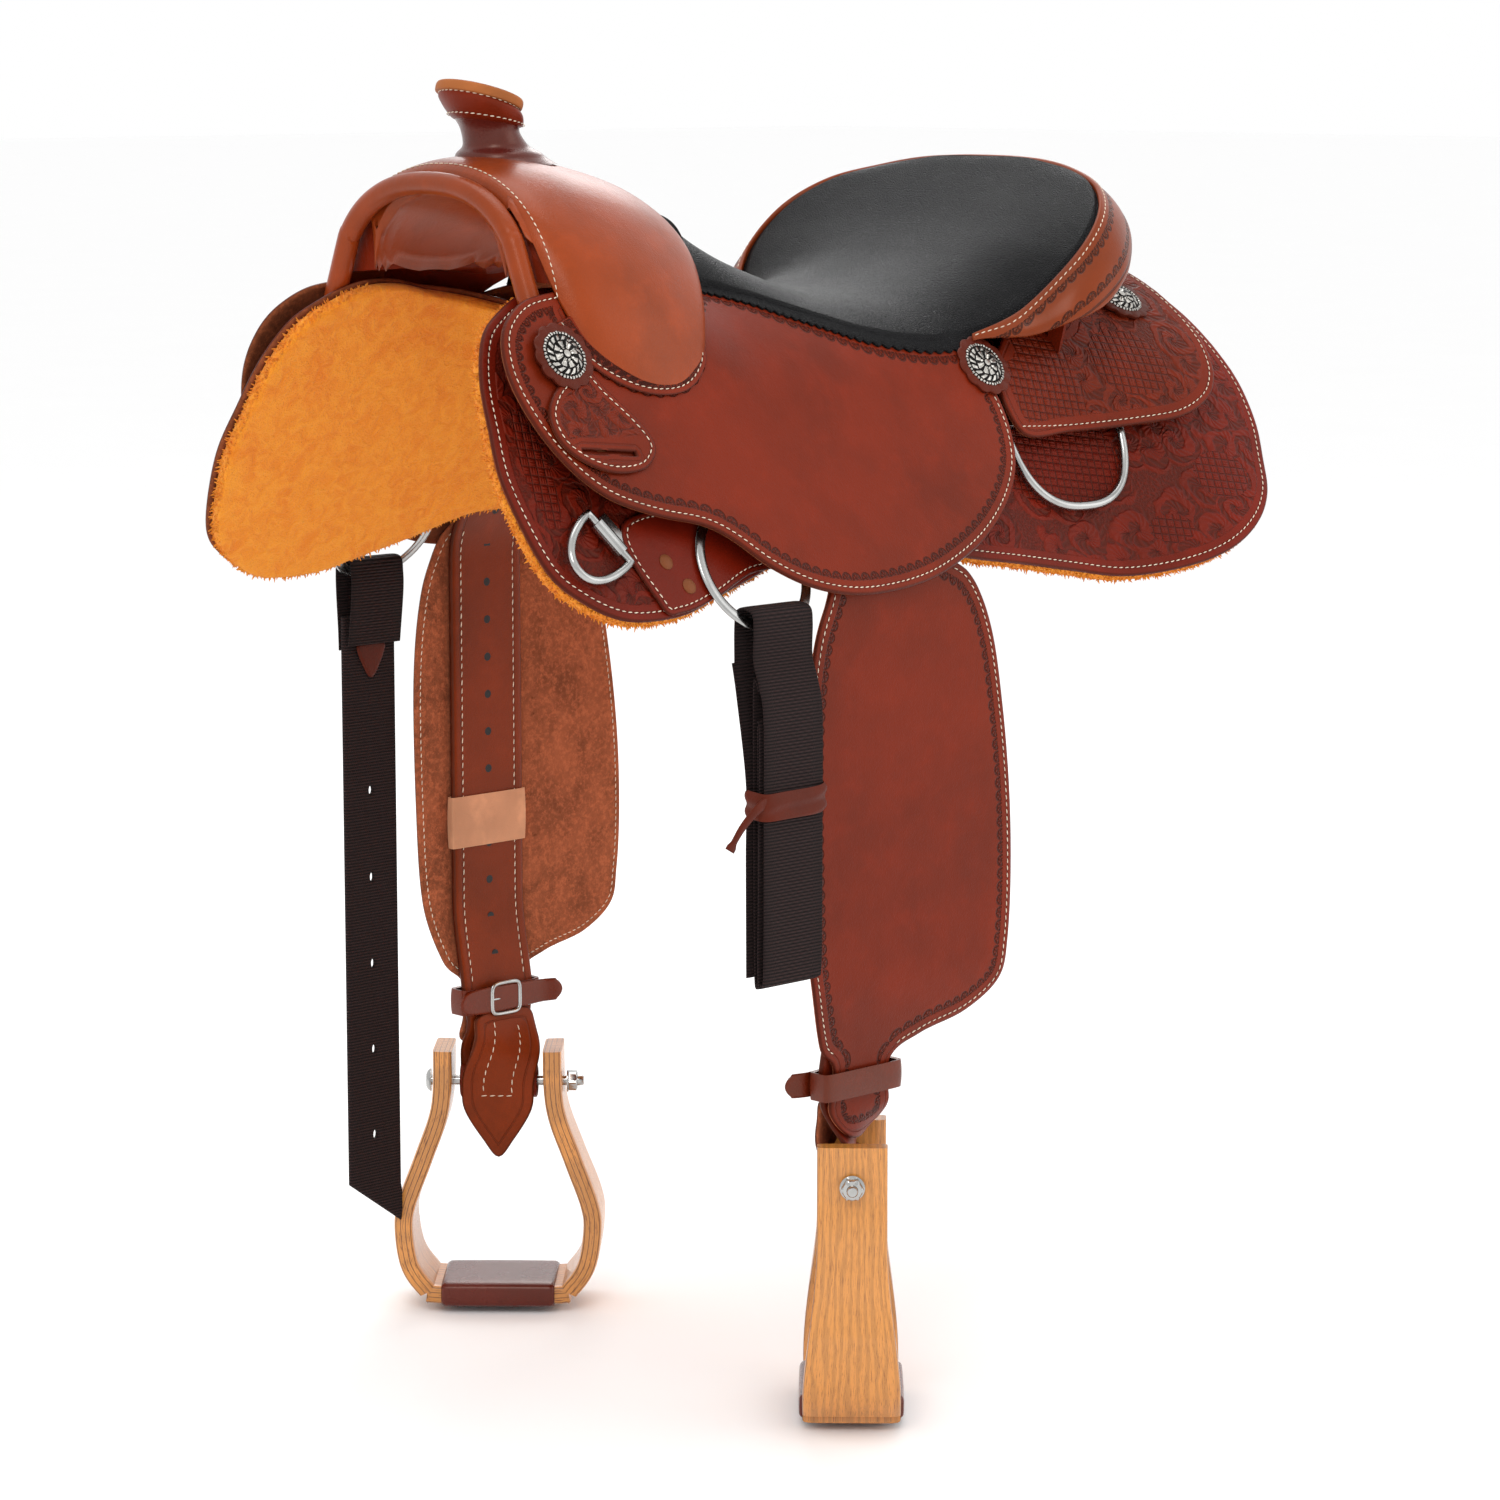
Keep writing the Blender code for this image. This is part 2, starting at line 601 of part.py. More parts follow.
FENDER_FRONT = [(-112, -150), (-127, -176), (-143, -215), (-151, -280), (-150, -380),
                (-145, -450), (-130, -500)]
FENDER_REAR = [(-28, -505), (16, -495), (48, -476), (56, -448), (59, -400), (57, -340),
               (49, -275), (36, -215), (14, -176), (-26, -150)]
FENDER_TOP_V = 108.0
CONCHO_PLACES = {"front": (-311, 30, TAB_D + TAB_T), "corner": (92, 60, JOCKEY_D + JOCKEY_T),
                 "rear": (272, 8, REAR_JOCKEY_D + JOCKEY_T)}


def fork_line():
    """Where the fork cover's lower edge lies on the jockey, as (x, v)."""
    return [(-186, 14), (-196, 34), (-214, 46), (-240, 46), (-264, 36), (-282, 20), (-291, 0)]


def jockey_outline():
    """The jockey's free edge, then its top edge under the seat and the fork."""
    seat_line = [(r[0], r[2]) for r in SEAT_ROWS if r[1] is None]
    return JOCKEY_EDGE + list(reversed(seat_line)) + fork_line()


def rear_jockey_outline():
    """Rear jockey: its free edge, then round the foot of the cantle."""
    line = []
    for i in range(9):
        point, out = rim(0.80 - 0.76 * i / 8)
        point = point - out * CANTLE_INSET
        line.append((point.x, height_on_side(point.x, point.y, REAR_JOCKEY_D)[1]))
    return REAR_JOCKEY_EDGE + [REAR_JOCKEY_FRONT] + line


CANTLE_INSET = 21.0
CANTLE_WALL, CANTLE_WALL_FOOT = (-24.0, -13.0), (-40.0, -29.5)
CANTLE_BACK, CANTLE_BACK_FOOT = (-4.5, -1.5), (-20.0, -17.0)
CANTLE_WALL_REACH, CANTLE_BACK_REACH = 0.64, 0.80


def roll_thickness(t):
    return 2.5 + (ROLL_T - 2.5) * ease(1 - abs(t), 0.02, 0.30)


def roll_width(t):
    return 5.0 + (ROLL_W - 5.0) * ease(1 - abs(t), 0.0, 0.36)


def roll_section(t):
    """Section of the cantle roll at t: flat on the rear of the rim, steep at its sides."""
    point, out = rim(t)
    slope = math.radians(ROLL_SLOPE[0] + (ROLL_SLOPE[1] - ROLL_SLOPE[0]) * ease(abs(t), 0.05, 0.55))
    wide, deep = roll_width(t), roll_thickness(t)
    along = out * math.cos(slope) - Vector((0, 0, math.sin(slope)))
    up = out * math.sin(slope) + Vector((0, 0, math.cos(slope)))
    lip = point + out * 1.2
    return [lip + Vector((0, 0, 0.5)), lip + along * wide * 0.5 + up * deep * 0.2,
            lip + along * wide * 0.88 - up * deep * 0.1, lip + along * wide - up * deep * 0.5,
            lip + along * wide * 0.9 - up * deep, lip + along * wide * 0.6 - up * deep,
            lip - Vector((0, 0, deep))]


def make_cantle():
    """Roll round the rim, the wooden cantle under it and the leather on its back."""
    rings = [roll_section(-1 + 2 * i / 48) for i in range(49)]
    loft("cantle_roll", rings, "cover")
    for name, tops, feet, reach, drop, depth, look in (
            ("tree_cantle", CANTLE_WALL, CANTLE_WALL_FOOT, CANTLE_WALL_REACH, 40.0, PLATE_D,
             "timber"),
            ("cantle_back", CANTLE_BACK, CANTLE_BACK_FOOT, CANTLE_BACK_REACH, 8.5,
             REAR_JOCKEY_D + JOCKEY_T + GAP, "cover")):
        rings = []
        for i in range(33):
            t = reach * (-1 + 2 * i / 32)
            point, out = rim(t)
            top = point.z - drop - (0 if name == "tree_cantle" else roll_thickness(t))
            ring = []
            for inward in (0, 1):
                foot = point + out * feet[inward]
                foot.z = height_on_side(foot.x, foot.y, depth)[0] + GAP
                head = point + out * tops[inward]
                ring.append((foot, Vector((head.x, head.y, top))))
            rings.append([ring[0][0], ring[1][0], ring[1][1], ring[0][1]])
        loft(name, rings, look)


def make_fork():
    """Wooden fork, its leather cover and the roll round the gullet."""
    front_x, rear_x = FORK_ROWS[0][0] - FORM_MARGIN, FORK_ROWS[-1][0] + 2 * FORM_MARGIN
    lower = form_solid("form_below_fork", JOCKEY_D + JOCKEY_T + 3 * GAP, front_x, rear_x)
    hole = cutter(horn_loft("horn_hole", HORN_CORE_R + GAP, -HORN_POST_DROP - 2.0, 0.6, "timber"))
    cover = fork_solid("fork_cover", 0.0)
    cover.data.materials.clear()
    cover.data.materials.append(material("cover"))
    inside = cutter(fork_solid("cover_inside", COVER_T))
    combine(cover, inside, "DIFFERENCE")
    combine(cover, lower, "DIFFERENCE")
    combine(cover, hole, "DIFFERENCE")
    tree = fork_solid("tree_fork", COVER_T + GAP)
    combine(tree, lower, "DIFFERENCE")
    combine(tree, hole, "DIFFERENCE")
    front = FORK_ROWS[0][0] - GULLET_ROLL_R - 2 * GAP
    arch = [(front - 2, -98, 36), (front, -88, 58), (front, -65, 82), (front, -36, 98),
            (front, 0, 104), (front, 36, 98), (front, 65, 82), (front, 88, 58),
            (front - 2, 98, 36)]
    tube("gullet_roll", smooth_run(arch, 3), GULLET_ROLL_R, "cover")


HORN_TOP = (-262.0, 160.0)
HORN_CAP_TILT, HORN_WRAP_TOP = 17.0, 0.99


def horn_ring(height, radius, sides=20):
    """Circle round the horn's leaning centre line; height 0 is its base and 1 the cap."""
    x = HORN_X + (HORN_TOP[0] - HORN_X) * height
    z = HORN_BASE_Z + (HORN_TOP[1] - HORN_BASE_Z) * height
    tilt = math.radians(HORN_CAP_TILT) * ease(height, 0.2, 1.0)
    ring = []
    for i in range(sides):
        angle = 2 * math.pi * i / sides
        along = radius * math.cos(angle)
        ring.append(Vector((x + along * math.cos(tilt), radius * math.sin(angle),
                            z - along * math.sin(tilt))))
    return ring


def horn_loft(name, radius, low_drop, high, look):
    """Plain post on the horn's centre line."""
    rings = [[p + Vector((0, 0, low_drop)) for p in horn_ring(0.0, radius)]]
    rings += [horn_ring(h, radius) for h in (0.0, 0.3, high)]
    return loft(name, rings, look)


def make_horn():
    """Steel horn post, leather wrap with its bulb, and the cap."""
    horn_loft("horn_core", HORN_CORE_R, -HORN_POST_DROP, 0.98, "timber")
    bore = HORN_CORE_R + GAP
    shape = ((0.16, HORN_NECK_R + 8), (0.30, HORN_NECK_R + 1), (0.52, HORN_NECK_R - 1),
             (0.68, HORN_NECK_R + 2), (0.80, HORN_CAP_R - 3), (0.92, HORN_CAP_R - 1.5),
             (HORN_WRAP_TOP, HORN_CAP_R - 5))
    rings = [horn_ring(h, r) for h, r in shape]
    rings += [horn_ring(h, bore) for h in (HORN_WRAP_TOP, 0.6, 0.3, 0.16)]
    loft("horn_wrap", rings, "wrap", closed=True)
    tilt = math.radians(HORN_CAP_TILT)
    up = Vector((math.sin(tilt), 0, math.cos(tilt)))
    base = horn_ring(1.0, HORN_CAP_R)
    centre = sum(base, Vector()) / len(base)
    rings = [[centre + (p - centre) * scale + up * rise for p in base]
             for rise, scale in ((0.0, 0.97), (2.0, 1.0), (HORN_CAP_T - 1.5, 1.0), (HORN_CAP_T, 0.96))]
    loft("horn_cap", rings, "tan")


def make_seat():
    """Padded seat and the shaped ground seat under it."""
    rings = [seat_ring(r, lambda q: 0.0, crown) for r in SEAT_ROWS]
    loft("padded_seat", rings, "seat")
    rings = [seat_ring(r, lambda q: crown(q) + 4 * GAP, lambda q: crown(q) + 4 * GAP + GROUND_T, GROUND_REACH)
             for r in SEAT_ROWS[1:-2]]
    loft("ground_seat", rings, "timber")


GROUND_REACH = 0.70


def make_skirts(hand):
    """Skirt, fleece, rigging plate, jockeys, bar and slot tab of one side."""
    outline = [Vector(p) for p in SKIRT_OUTLINE]
    middle = Vector((0, 90))
    fleece = [p + (middle - p).normalized() * FLEECE_MARGIN for p in outline]
    panel(side_name(hand, "fleece"), fleece, 0.0, FLEECE_T, hand, "fleece")
    panel(side_name(hand, "skirt"), outline, SKIRT_D, SKIRT_T, hand, "skirting")
    panel(side_name(hand, "rigging_plate"), RIGGING_OUTLINE, PLATE_D, PLATE_T, hand, "skirting")
    panel(side_name(hand, "tree_bar"), BAR_OUTLINE, PLATE_D, BAR_T, hand, "timber")
    panel(side_name(hand, "seat_jockey"), jockey_outline(), JOCKEY_D, JOCKEY_T, hand, "leather")
    panel(side_name(hand, "rear_jockey"), rear_jockey_outline(), REAR_JOCKEY_D, JOCKEY_T, hand,
          "skirting")
    panel(side_name(hand, "slot_tab"), smooth_loop(TAB_OUTLINE, 2), TAB_D, TAB_T, hand, "leather",
          holes=[TAB_SLOT])


def seated(x, v, d, radius, hand):
    """Frame of a disc that lies on a layer's facets, a gap above the highest of them."""
    frame = side_frame(x, v, d, hand)
    out = frame.to_3x3() @ Vector((0, 0, 1))
    highest = -radius
    for share in (0.0, 0.35, 0.7, 1.0):
        for i in range(16):
            angle = 2 * math.pi * i / 16
            point = side(x + radius * share * math.cos(angle), v + radius * share * math.sin(angle), d)
            point.y *= hand
            highest = max(highest, (point - frame.translation).dot(out))
    frame.translation += out * (highest + GAP)
    return frame


def make_conchos(hand):
    """Silver rosettes, domed."""
    profile = [(0, 0), (CONCHO_R, 0), (CONCHO_R, CONCHO_RIM_T),
               (CONCHO_R * 0.7, (CONCHO_RIM_T + 2 * CONCHO_T) / 3), (0, CONCHO_T)]
    for place, (x, v, d) in CONCHO_PLACES.items():
        frame = seated(x, v, d, CONCHO_R, hand)
        turned(side_name(hand, "concho_" + place), profile, frame, "silver", sides=20)


def make_hanging(hand):
    """Stirrup leather with its loop, fender, sleeve, hobble strap and buckle."""
    half = STRAP_W / 2
    loop_half = NECK_W / 2 + 2
    end = hang_at(BOLT_Z + ROLLER_R + 4)
    strap = [(STRAP_X - half, 76.0), (STRAP_X + half, 76.0), (STRAP_X + half, hang_at(-535.0)),
             (STRAP_X + loop_half, hang_at(-556.0)), (STRAP_X + loop_half, end),
             (STRAP_X - loop_half, end), (STRAP_X - loop_half, hang_at(-556.0)),
             (STRAP_X - half, hang_at(-535.0))]
    leather = panel(side_name(hand, "stirrup_leather"), strap, STRAP_D, LEATHER_T, hand, "leather",
                    place=hang, cell_v=STRAP_CELL_V)
    bore = ROLLER_R + 0.6
    turn = [2 * math.pi * i / 20 for i in range(20)]
    neck = LEATHER_T / 2 - 0.05
    lift = math.asin(neck / (bore + LOOP_T))
    outer = [((bore + LOOP_T) * math.sin(a), (bore + LOOP_T) * math.cos(a))
             for a in (lift + (2 * math.pi - 2 * lift) * i / 20 for i in range(21))]
    stem_top = ROLLER_R + 14.0
    outer = [(neck, stem_top)] + outer + [(-neck, stem_top)]
    inner = [(bore * math.cos(a), bore * math.sin(a)) for a in turn]
    frame = strap_frame(BOLT_Z, hand, twist_at(BOLT_Z))
    across = frame @ Matrix(((0, 0, 1, 0), (1, 0, 0, 0), (0, 1, 0, 0), (0, 0, 0, 1)))
    loop = cutter(plate(side_name(hand, "stirrup_loop"), [outer, inner], 2 * loop_half - 0.4,
                        across, "leather"))
    combine(leather, loop, "UNION")
    neck_half = NECK_W / 2
    bottom = [(STRAP_X - neck_half, hang_at(FENDER_TIP_Z)), (STRAP_X - neck_half, hang_at(FENDER_END_Z)),
              (STRAP_X + neck_half, hang_at(FENDER_END_Z)), (STRAP_X + neck_half, hang_at(FENDER_TIP_Z))]
    blade = [(STRAP_X - half, FENDER_TOP_V)]
    blade += [(x, hang_at(z)) for x, z in FENDER_FRONT] + bottom
    blade += [(x, hang_at(z)) for x, z in FENDER_REAR] + [(STRAP_X + half + 8, FENDER_TOP_V)]
    panel(side_name(hand, "fender"), blade, FENDER_D, FENDER_T, hand, "leather", place=hang,
          cell_v=STRAP_CELL_V)
    roller = [(ROLLER_R, -loop_half), (ROLLER_R, loop_half), (BOLT_R + 0.5, loop_half),
              (BOLT_R + 0.5, -loop_half)]
    turned(side_name(hand, "stirrup_roller"), roller, across, "wrap", sides=20)
    sleeve_in = (STRAP_W / 2 + 1.0, STRAP_D - GAP - AXIS_Y_D, STRAP_D + LEATHER_T + GAP - AXIS_Y_D)
    band(side_name(hand, "buckle_sleeve"), sleeve_in, SLEEVE_T, SLEEVE_Z, SLEEVE_H, hand, "tan", 0.0)
    hobble_in = (NECK_W / 2 + 8.5, STRAP_D - HOBBLE_SLACK - AXIS_Y_D,
                 FENDER_D + FENDER_T + HOBBLE_SLACK - AXIS_Y_D)
    band(side_name(hand, "hobble_strap"), hobble_in, HOBBLE_T, HOBBLE_Z, HOBBLE_H, hand, "leather",
         0.0)
    frame = strap_frame(HOBBLE_Z, hand, 0.0)
    reach = (STRAP_D - HOBBLE_SLACK - AXIS_Y_D - HOBBLE_T - GAP) * hand
    tip = reach - 3.5 * hand
    high, low = max(reach, tip), min(reach, tip)
    buckle = box(side_name(hand, "hobble_buckle"), (-16, low, -14), (16, high, 14), frame, "steel")
    hole = cutter(box(side_name(hand, "buckle_hole"), (-11, low - 2, -9), (11, high + 2, 9), frame,
                      "steel"))
    combine(buckle, hole, "DIFFERENCE")


AXIS_Y_D = STRAP_D + LEATHER_T / 2


def band(name, inside, wall, z, height, hand, look, angle):
    """Flat band round the strap: inside is half width, inner and outer reach from the axis."""
    half, inner, outer = inside
    frame = strap_frame(z, hand, angle)
    low, high = sorted((inner * hand, outer * hand))
    ring = box(name, (-half - wall, low - wall, -height / 2), (half + wall, high + wall, height / 2),
               frame, look)
    hole = cutter(box(name + "_hole", (-half, low, -height), (half, high, height), frame, look))
    combine(ring, hole, "DIFFERENCE")


STIRRUP_HALF = [(50, STIRRUP_TOP_Z), (52, -614), (65, -653), (78, -688), (81, -710), (76, -741),
                (60, STIRRUP_BOTTOM_Z)]


def stirrup_outline():
    """Bent wood bow: outer line down the right arm, across the tread and up, then the inner line."""
    right = [Vector(p) for p in STIRRUP_HALF]
    run = [Vector((p.x, p.y)) for p in smooth_run(right, 3)]
    inner = []
    for i, p in enumerate(run):
        a, b = run[max(i - 1, 0)], run[min(i + 1, len(run) - 1)]
        along = (b - a).normalized()
        inner.append(p + Vector((along.y, -along.x)) * STIRRUP_T)
    floor = STIRRUP_BOTTOM_Z + STIRRUP_T
    inner = [p for p in inner if p.y > floor + 3 and p.x > TREAD_HALF]
    inner[0].y = run[0].y
    inner.append(Vector((TREAD_HALF + 2, floor)))
    outer = run + [Vector((-p.x, p.y)) for p in reversed(run)]
    hollow = [Vector((-p.x, p.y)) for p in inner] + list(reversed(inner))
    return outer + hollow


def stirrup_depth(z):
    """Width of the bow's wood, wider towards the tread."""
    tread_top = STIRRUP_BOTTOM_Z + STIRRUP_T
    return STIRRUP_TOP_W + (TREAD_W - STIRRUP_TOP_W) * ease(-z, -STIRRUP_WIDER_Z, -tread_top)


def make_stirrup(hand):
    """Bent wood stirrup, its tread wrap and the bolt with its nut."""
    name = side_name(hand, "stirrup")
    upright = Matrix(((1, 0, 0, 0), (0, 0, 1, 0), (0, 1, 0, 0), (0, 0, 0, 1)))
    level = strap_frame(BOLT_Z, hand, twist_at(BOLT_Z))
    level.translation.z = 0.0
    bow = plate(name, [stirrup_outline()], 1.0, Matrix.Identity(4), "oak")
    for vert in bow.data.vertices:
        flat = vert.co / MM
        wide = stirrup_depth(flat.y) * (1 if flat.z > 0 else -1) / 2
        vert.co = level @ (upright @ Vector((flat.x, flat.y, wide))) * MM
    bow.data.update()
    fix = bmesh.new()
    fix.from_mesh(bow.data)
    bmesh.ops.recalc_face_normals(fix, faces=fix.faces)
    fix.to_mesh(bow.data)
    fix.free()
    frame = strap_frame(BOLT_Z, hand, twist_at(BOLT_Z))
    across = frame @ Matrix(((0, 0, 1, 0), (1, 0, 0, 0), (0, 1, 0, 0), (0, 0, 0, 1)))
    arm = STIRRUP_HALF[0][0]
    bore = cutter(turned(name + "_bore", [(0, -arm - 9), (BOLT_R + 0.3, -arm - 9),
                                          (BOLT_R + 0.3, arm + 9), (0, arm + 9)], across, "oak", 16))
    combine(bow, bore, "DIFFERENCE")
    nut = arm + 3.0
    profile = [(0, -nut - 4), (7, -nut - 4), (9, -nut - 1), (9, -nut), (BOLT_R, -nut), (BOLT_R, nut),
               (9, nut), (9, nut + 1), (7.5, nut + 2), (7.5, nut + 7), (5, nut + 11), (0, nut + 13)]
    if hand == NEAR:
        profile = [(r, -h) for r, h in reversed(profile)]
    turned(side_name(hand, "stirrup_bolt"), profile, across, "steel", 16)
    low = STIRRUP_BOTTOM_Z - GAP
    high = STIRRUP_BOTTOM_Z + STIRRUP_T + GAP
    half = TREAD_W / 2 + GAP
    wall = TREAD_WRAP_T
    wrap = box(side_name(hand, "stirrup_tread"), (-TREAD_HALF, -half - wall, low - wall),
               (TREAD_HALF, half + wall, high + wall), level, "wrap")
    hole = cutter(box(name + "_tread_hole", (-TREAD_HALF - 9, -half, low), (TREAD_HALF + 9, half, high),
                      level, "wrap"))
    combine(wrap, hole, "DIFFERENCE")


def circle(radius, steps, centre=(0, 0)):
    return [(centre[0] + radius * math.cos(2 * math.pi * i / steps),
             centre[1] + radius * math.sin(2 * math.pi * i / steps)) for i in range(steps)]


def make_ring(hand):
    """Flat rigging ring on the plate."""
    frame = side_frame(RING_X, RING_V, RING_D + RING_T / 2, hand)
    plate(side_name(hand, "rigging_ring"), [circle(RING_R, 36), circle(RING_R - RING_W, 36)], RING_T,
          frame, "steel")


def ring_bottom(hand):
    """Lowest point of the ring's bar, on the strap's centre line."""
    frame = side_frame(RING_X, RING_V, RING_D + RING_T / 2, hand)
    reach = RING_R - RING_W / 2
    down = frame.translation + (exact_side(RING_X, RING_V + 1, 0) - exact_side(RING_X, RING_V, 0)
                                ).normalized() * reach
    return abs(frame.translation.y) + reach * math.sin(LEAN), down.z


def hanging_strap(name, hand, width, end_z, thick, slant, holes, look):
    """Strap whose top goes round the ring's bar and hangs straight down."""
    y, z = ring_bottom(hand)
    inner, outer = y - EYE_IN, y + EYE_OUT
    inner_r = RING_R - RING_W
    rise = (inner_r + RING_W / 2 - math.sqrt(inner_r ** 2 - width ** 2 / 4)) * math.cos(LEAN)
    top = z + rise + RING_T / 2 * math.sin(LEAN) + STRAP_GAUGE + GAP
    low = z - EYE_DOWN
    body = inner + BODY_OUT
    profile = [(body, end_z), (body, low - 14), (inner, low - 4), (inner, top), (outer, top),
               (outer, low - 4), (body + thick, low - 14), (body + thick, end_z)]
    eye = [(inner + STRAP_GAUGE, low), (inner + STRAP_GAUGE, top - STRAP_GAUGE),
           (outer - STRAP_GAUGE, top - STRAP_GAUGE), (outer - STRAP_GAUGE, low)]
    frame = Matrix(((0, 0, 1, RING_X), (hand, 0, 0, 0), (0, 1, 0, 0), (0, 0, 0, 1)))
    strap = plate(name, [profile, eye], width, frame, look)
    if slant:
        wedge = cutter(box(name + "_end", (-width, -20, -80), (width, 20, 0),
                           Matrix.Translation((RING_X, (body + 3) * hand, end_z + 20))
                           @ Matrix.Rotation(math.radians(-36), 4, "Y"), look))
        combine(strap, wedge, "DIFFERENCE")
    for i in range(holes):
        at = Matrix.Translation((RING_X, (body + 3) * hand, end_z + 75 + BILLET_HOLE_PITCH * i))
        punch = cutter(box(name + "_hole%d" % i, (-2.5, -12, -6), (2.5, 12, 6), at, look))
        combine(strap, punch, "DIFFERENCE")
    return strap


def dee_path(half, depth, fullness):
    """D in a plane: a straight bar along X at y = 0 and a bow below it."""
    points = [(half * (2 * i / 6 - 1), 0.0) for i in range(6)]
    for i in range(19):
        angle = math.pi * i / 18
        x = half * math.copysign(abs(math.cos(angle)) ** (2 / fullness), math.cos(angle))
        y = -depth * math.sin(angle) ** (2 / fullness)
        points.append((x, y))
    return points[:-1]


def make_dees(hand):
    """Rear dee under the rear jockey, breast collar dee and its clip."""
    lift = SKIRT_D + SKIRT_T + REAR_DEE_WIRE + REAR_DEE_LIFT
    places = [exact_side(x, v, lift) for x, v in (
        (REAR_DEE_X - REAR_DEE_HALF, REAR_DEE_V), (REAR_DEE_X + REAR_DEE_HALF, REAR_DEE_V),
        (REAR_DEE_X, REAR_DEE_V + REAR_DEE_DEPTH))]
    for place in places:
        place.y *= hand
    across = (places[1] - places[0]).normalized()
    middle = (places[0] + places[1]) / 2
    fall = places[2] - middle
    fall = (fall - across * fall.dot(across)).normalized()
    points = [middle + across * x - fall * y
              for x, y in dee_path(REAR_DEE_HALF, REAR_DEE_DEPTH, 2.5)]
    tube(side_name(hand, "rear_dee"), points, REAR_DEE_WIRE, "steel", cyclic=True)
    (x0, v0), (x1, v1) = BREAST_BAR_TOP, BREAST_BAR_END
    lift = SKIRT_D + SKIRT_T + GAP + BREAST_CLIP_R
    start, end = side_frame(x0, v0, lift, hand), side_frame(x1, v1, lift, hand)
    middle = (start.translation + end.translation) / 2
    along = (end.translation - start.translation).normalized()
    out = Vector((0, math.cos(LEAN) * hand, math.sin(LEAN)))
    ahead = along.cross(out).normalized()
    if ahead.x > 0:
        ahead = -ahead
    points = [middle + along * x - ahead * y for x, y in dee_path(BREAST_DEE_R, BREAST_DEE_DEPTH, 2.2)]
    tube(side_name(hand, "breast_dee"), points, BREAST_DEE_WIRE, "steel", cyclic=True)
    bore = BREAST_DEE_WIRE + 0.5
    start_angle = math.asin(-3.4 / BREAST_CLIP_R)
    sweep = 3 * math.pi / 2 - start_angle
    outer = [(BREAST_CLIP_R * math.cos(start_angle + sweep * i / 16),
              BREAST_CLIP_R * math.sin(start_angle + sweep * i / 16)) for i in range(17)]
    outer += [(BREAST_CLIP_TAIL, -BREAST_CLIP_R), (BREAST_CLIP_TAIL, -3.4)]
    frame = Matrix((-ahead, out, along)).transposed().to_4x4()
    frame.translation = middle
    plate(side_name(hand, "breast_dee_clip"), [outer, circle(bore, 14)], 26.0, frame, "steel")


BREAST_CLIP_R, BREAST_CLIP_TAIL = 5.2, 16.0


def build():
    for hand in (NEAR, OFF):
        make_skirts(hand)
        make_conchos(hand)
        make_hanging(hand)
        make_stirrup(hand)
        make_ring(hand)
        make_dees(hand)
    make_seat()
    make_cantle()
    make_fork()
    make_horn()
    hanging_strap("latigo", NEAR, LATIGO_W, LATIGO_END_Z, LATIGO_T, False, 0, "nylon")
    hanging_strap("off_billet", OFF, BILLET_W, BILLET_END_Z, 3.0 * STRAP_GAUGE, True, BILLET_HOLES,
                  "nylon")


bpy.context.scene.collection.children.link(PARTS)
bpy.context.scene.collection.children.link(CUTTERS)
build()
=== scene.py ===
"""Looks of the western pleasure saddle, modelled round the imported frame.

The frame is +Z up, -X the horse's head and -Y the near side. Outlines on the sides of the saddle
are in millimetres as (x, v): x towards the cantle, v down the side from the reference line.
"""
import math
import random

import bmesh
import bpy
from bpy.props import FloatProperty, FloatVectorProperty, PointerProperty
from mathutils import Matrix, Vector, kdtree


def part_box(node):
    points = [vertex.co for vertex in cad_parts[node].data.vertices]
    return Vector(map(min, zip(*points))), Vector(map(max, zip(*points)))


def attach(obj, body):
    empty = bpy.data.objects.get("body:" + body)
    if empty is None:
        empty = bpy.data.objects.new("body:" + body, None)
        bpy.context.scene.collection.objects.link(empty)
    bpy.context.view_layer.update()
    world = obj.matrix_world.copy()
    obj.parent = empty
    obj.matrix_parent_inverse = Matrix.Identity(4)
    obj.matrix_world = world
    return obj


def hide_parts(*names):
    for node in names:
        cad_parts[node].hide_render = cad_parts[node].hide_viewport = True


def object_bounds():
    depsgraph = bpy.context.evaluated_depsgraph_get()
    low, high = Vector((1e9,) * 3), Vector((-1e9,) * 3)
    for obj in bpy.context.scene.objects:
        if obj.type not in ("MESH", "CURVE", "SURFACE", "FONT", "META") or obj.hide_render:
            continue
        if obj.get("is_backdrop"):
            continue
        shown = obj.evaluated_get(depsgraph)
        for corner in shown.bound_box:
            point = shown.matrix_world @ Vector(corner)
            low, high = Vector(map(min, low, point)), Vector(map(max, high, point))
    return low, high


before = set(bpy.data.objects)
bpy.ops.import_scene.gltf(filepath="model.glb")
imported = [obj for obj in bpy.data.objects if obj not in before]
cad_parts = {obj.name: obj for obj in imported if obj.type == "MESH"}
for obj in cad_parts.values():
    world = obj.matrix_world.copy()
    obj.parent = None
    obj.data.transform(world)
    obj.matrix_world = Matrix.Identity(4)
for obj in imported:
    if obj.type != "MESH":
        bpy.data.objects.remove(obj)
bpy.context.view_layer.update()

bl_info = {
    "name": "Western Saddle Looks",
    "version": (1, 0, 0),
    "blender": (4, 5, 0),
    "location": "View3D > Sidebar > Saddle",
    "description": "Leather, fleece, hardware and wood of a western saddle",
    "category": "Object",
}

MM = 0.001
NEAR, OFF = -1, 1
HANDS = {NEAR: "near_", OFF: "off_"}

# The horse form that the CAD's layers are measured from
LEAN, SIDE_Y = math.radians(28.0), 93.0
FRONT_X, MID_FRONT_X, MID_REAR_X, REAR_X = -290.0, -120.0, 125.0, 340.0
FRONT_R, MID_R, REAR_R = 78.0, 145.0, 195.0
REAR_RIDGE, REAR_SLOPE, REAR_REFERENCE = 15.0, math.radians(58.0), 110.5

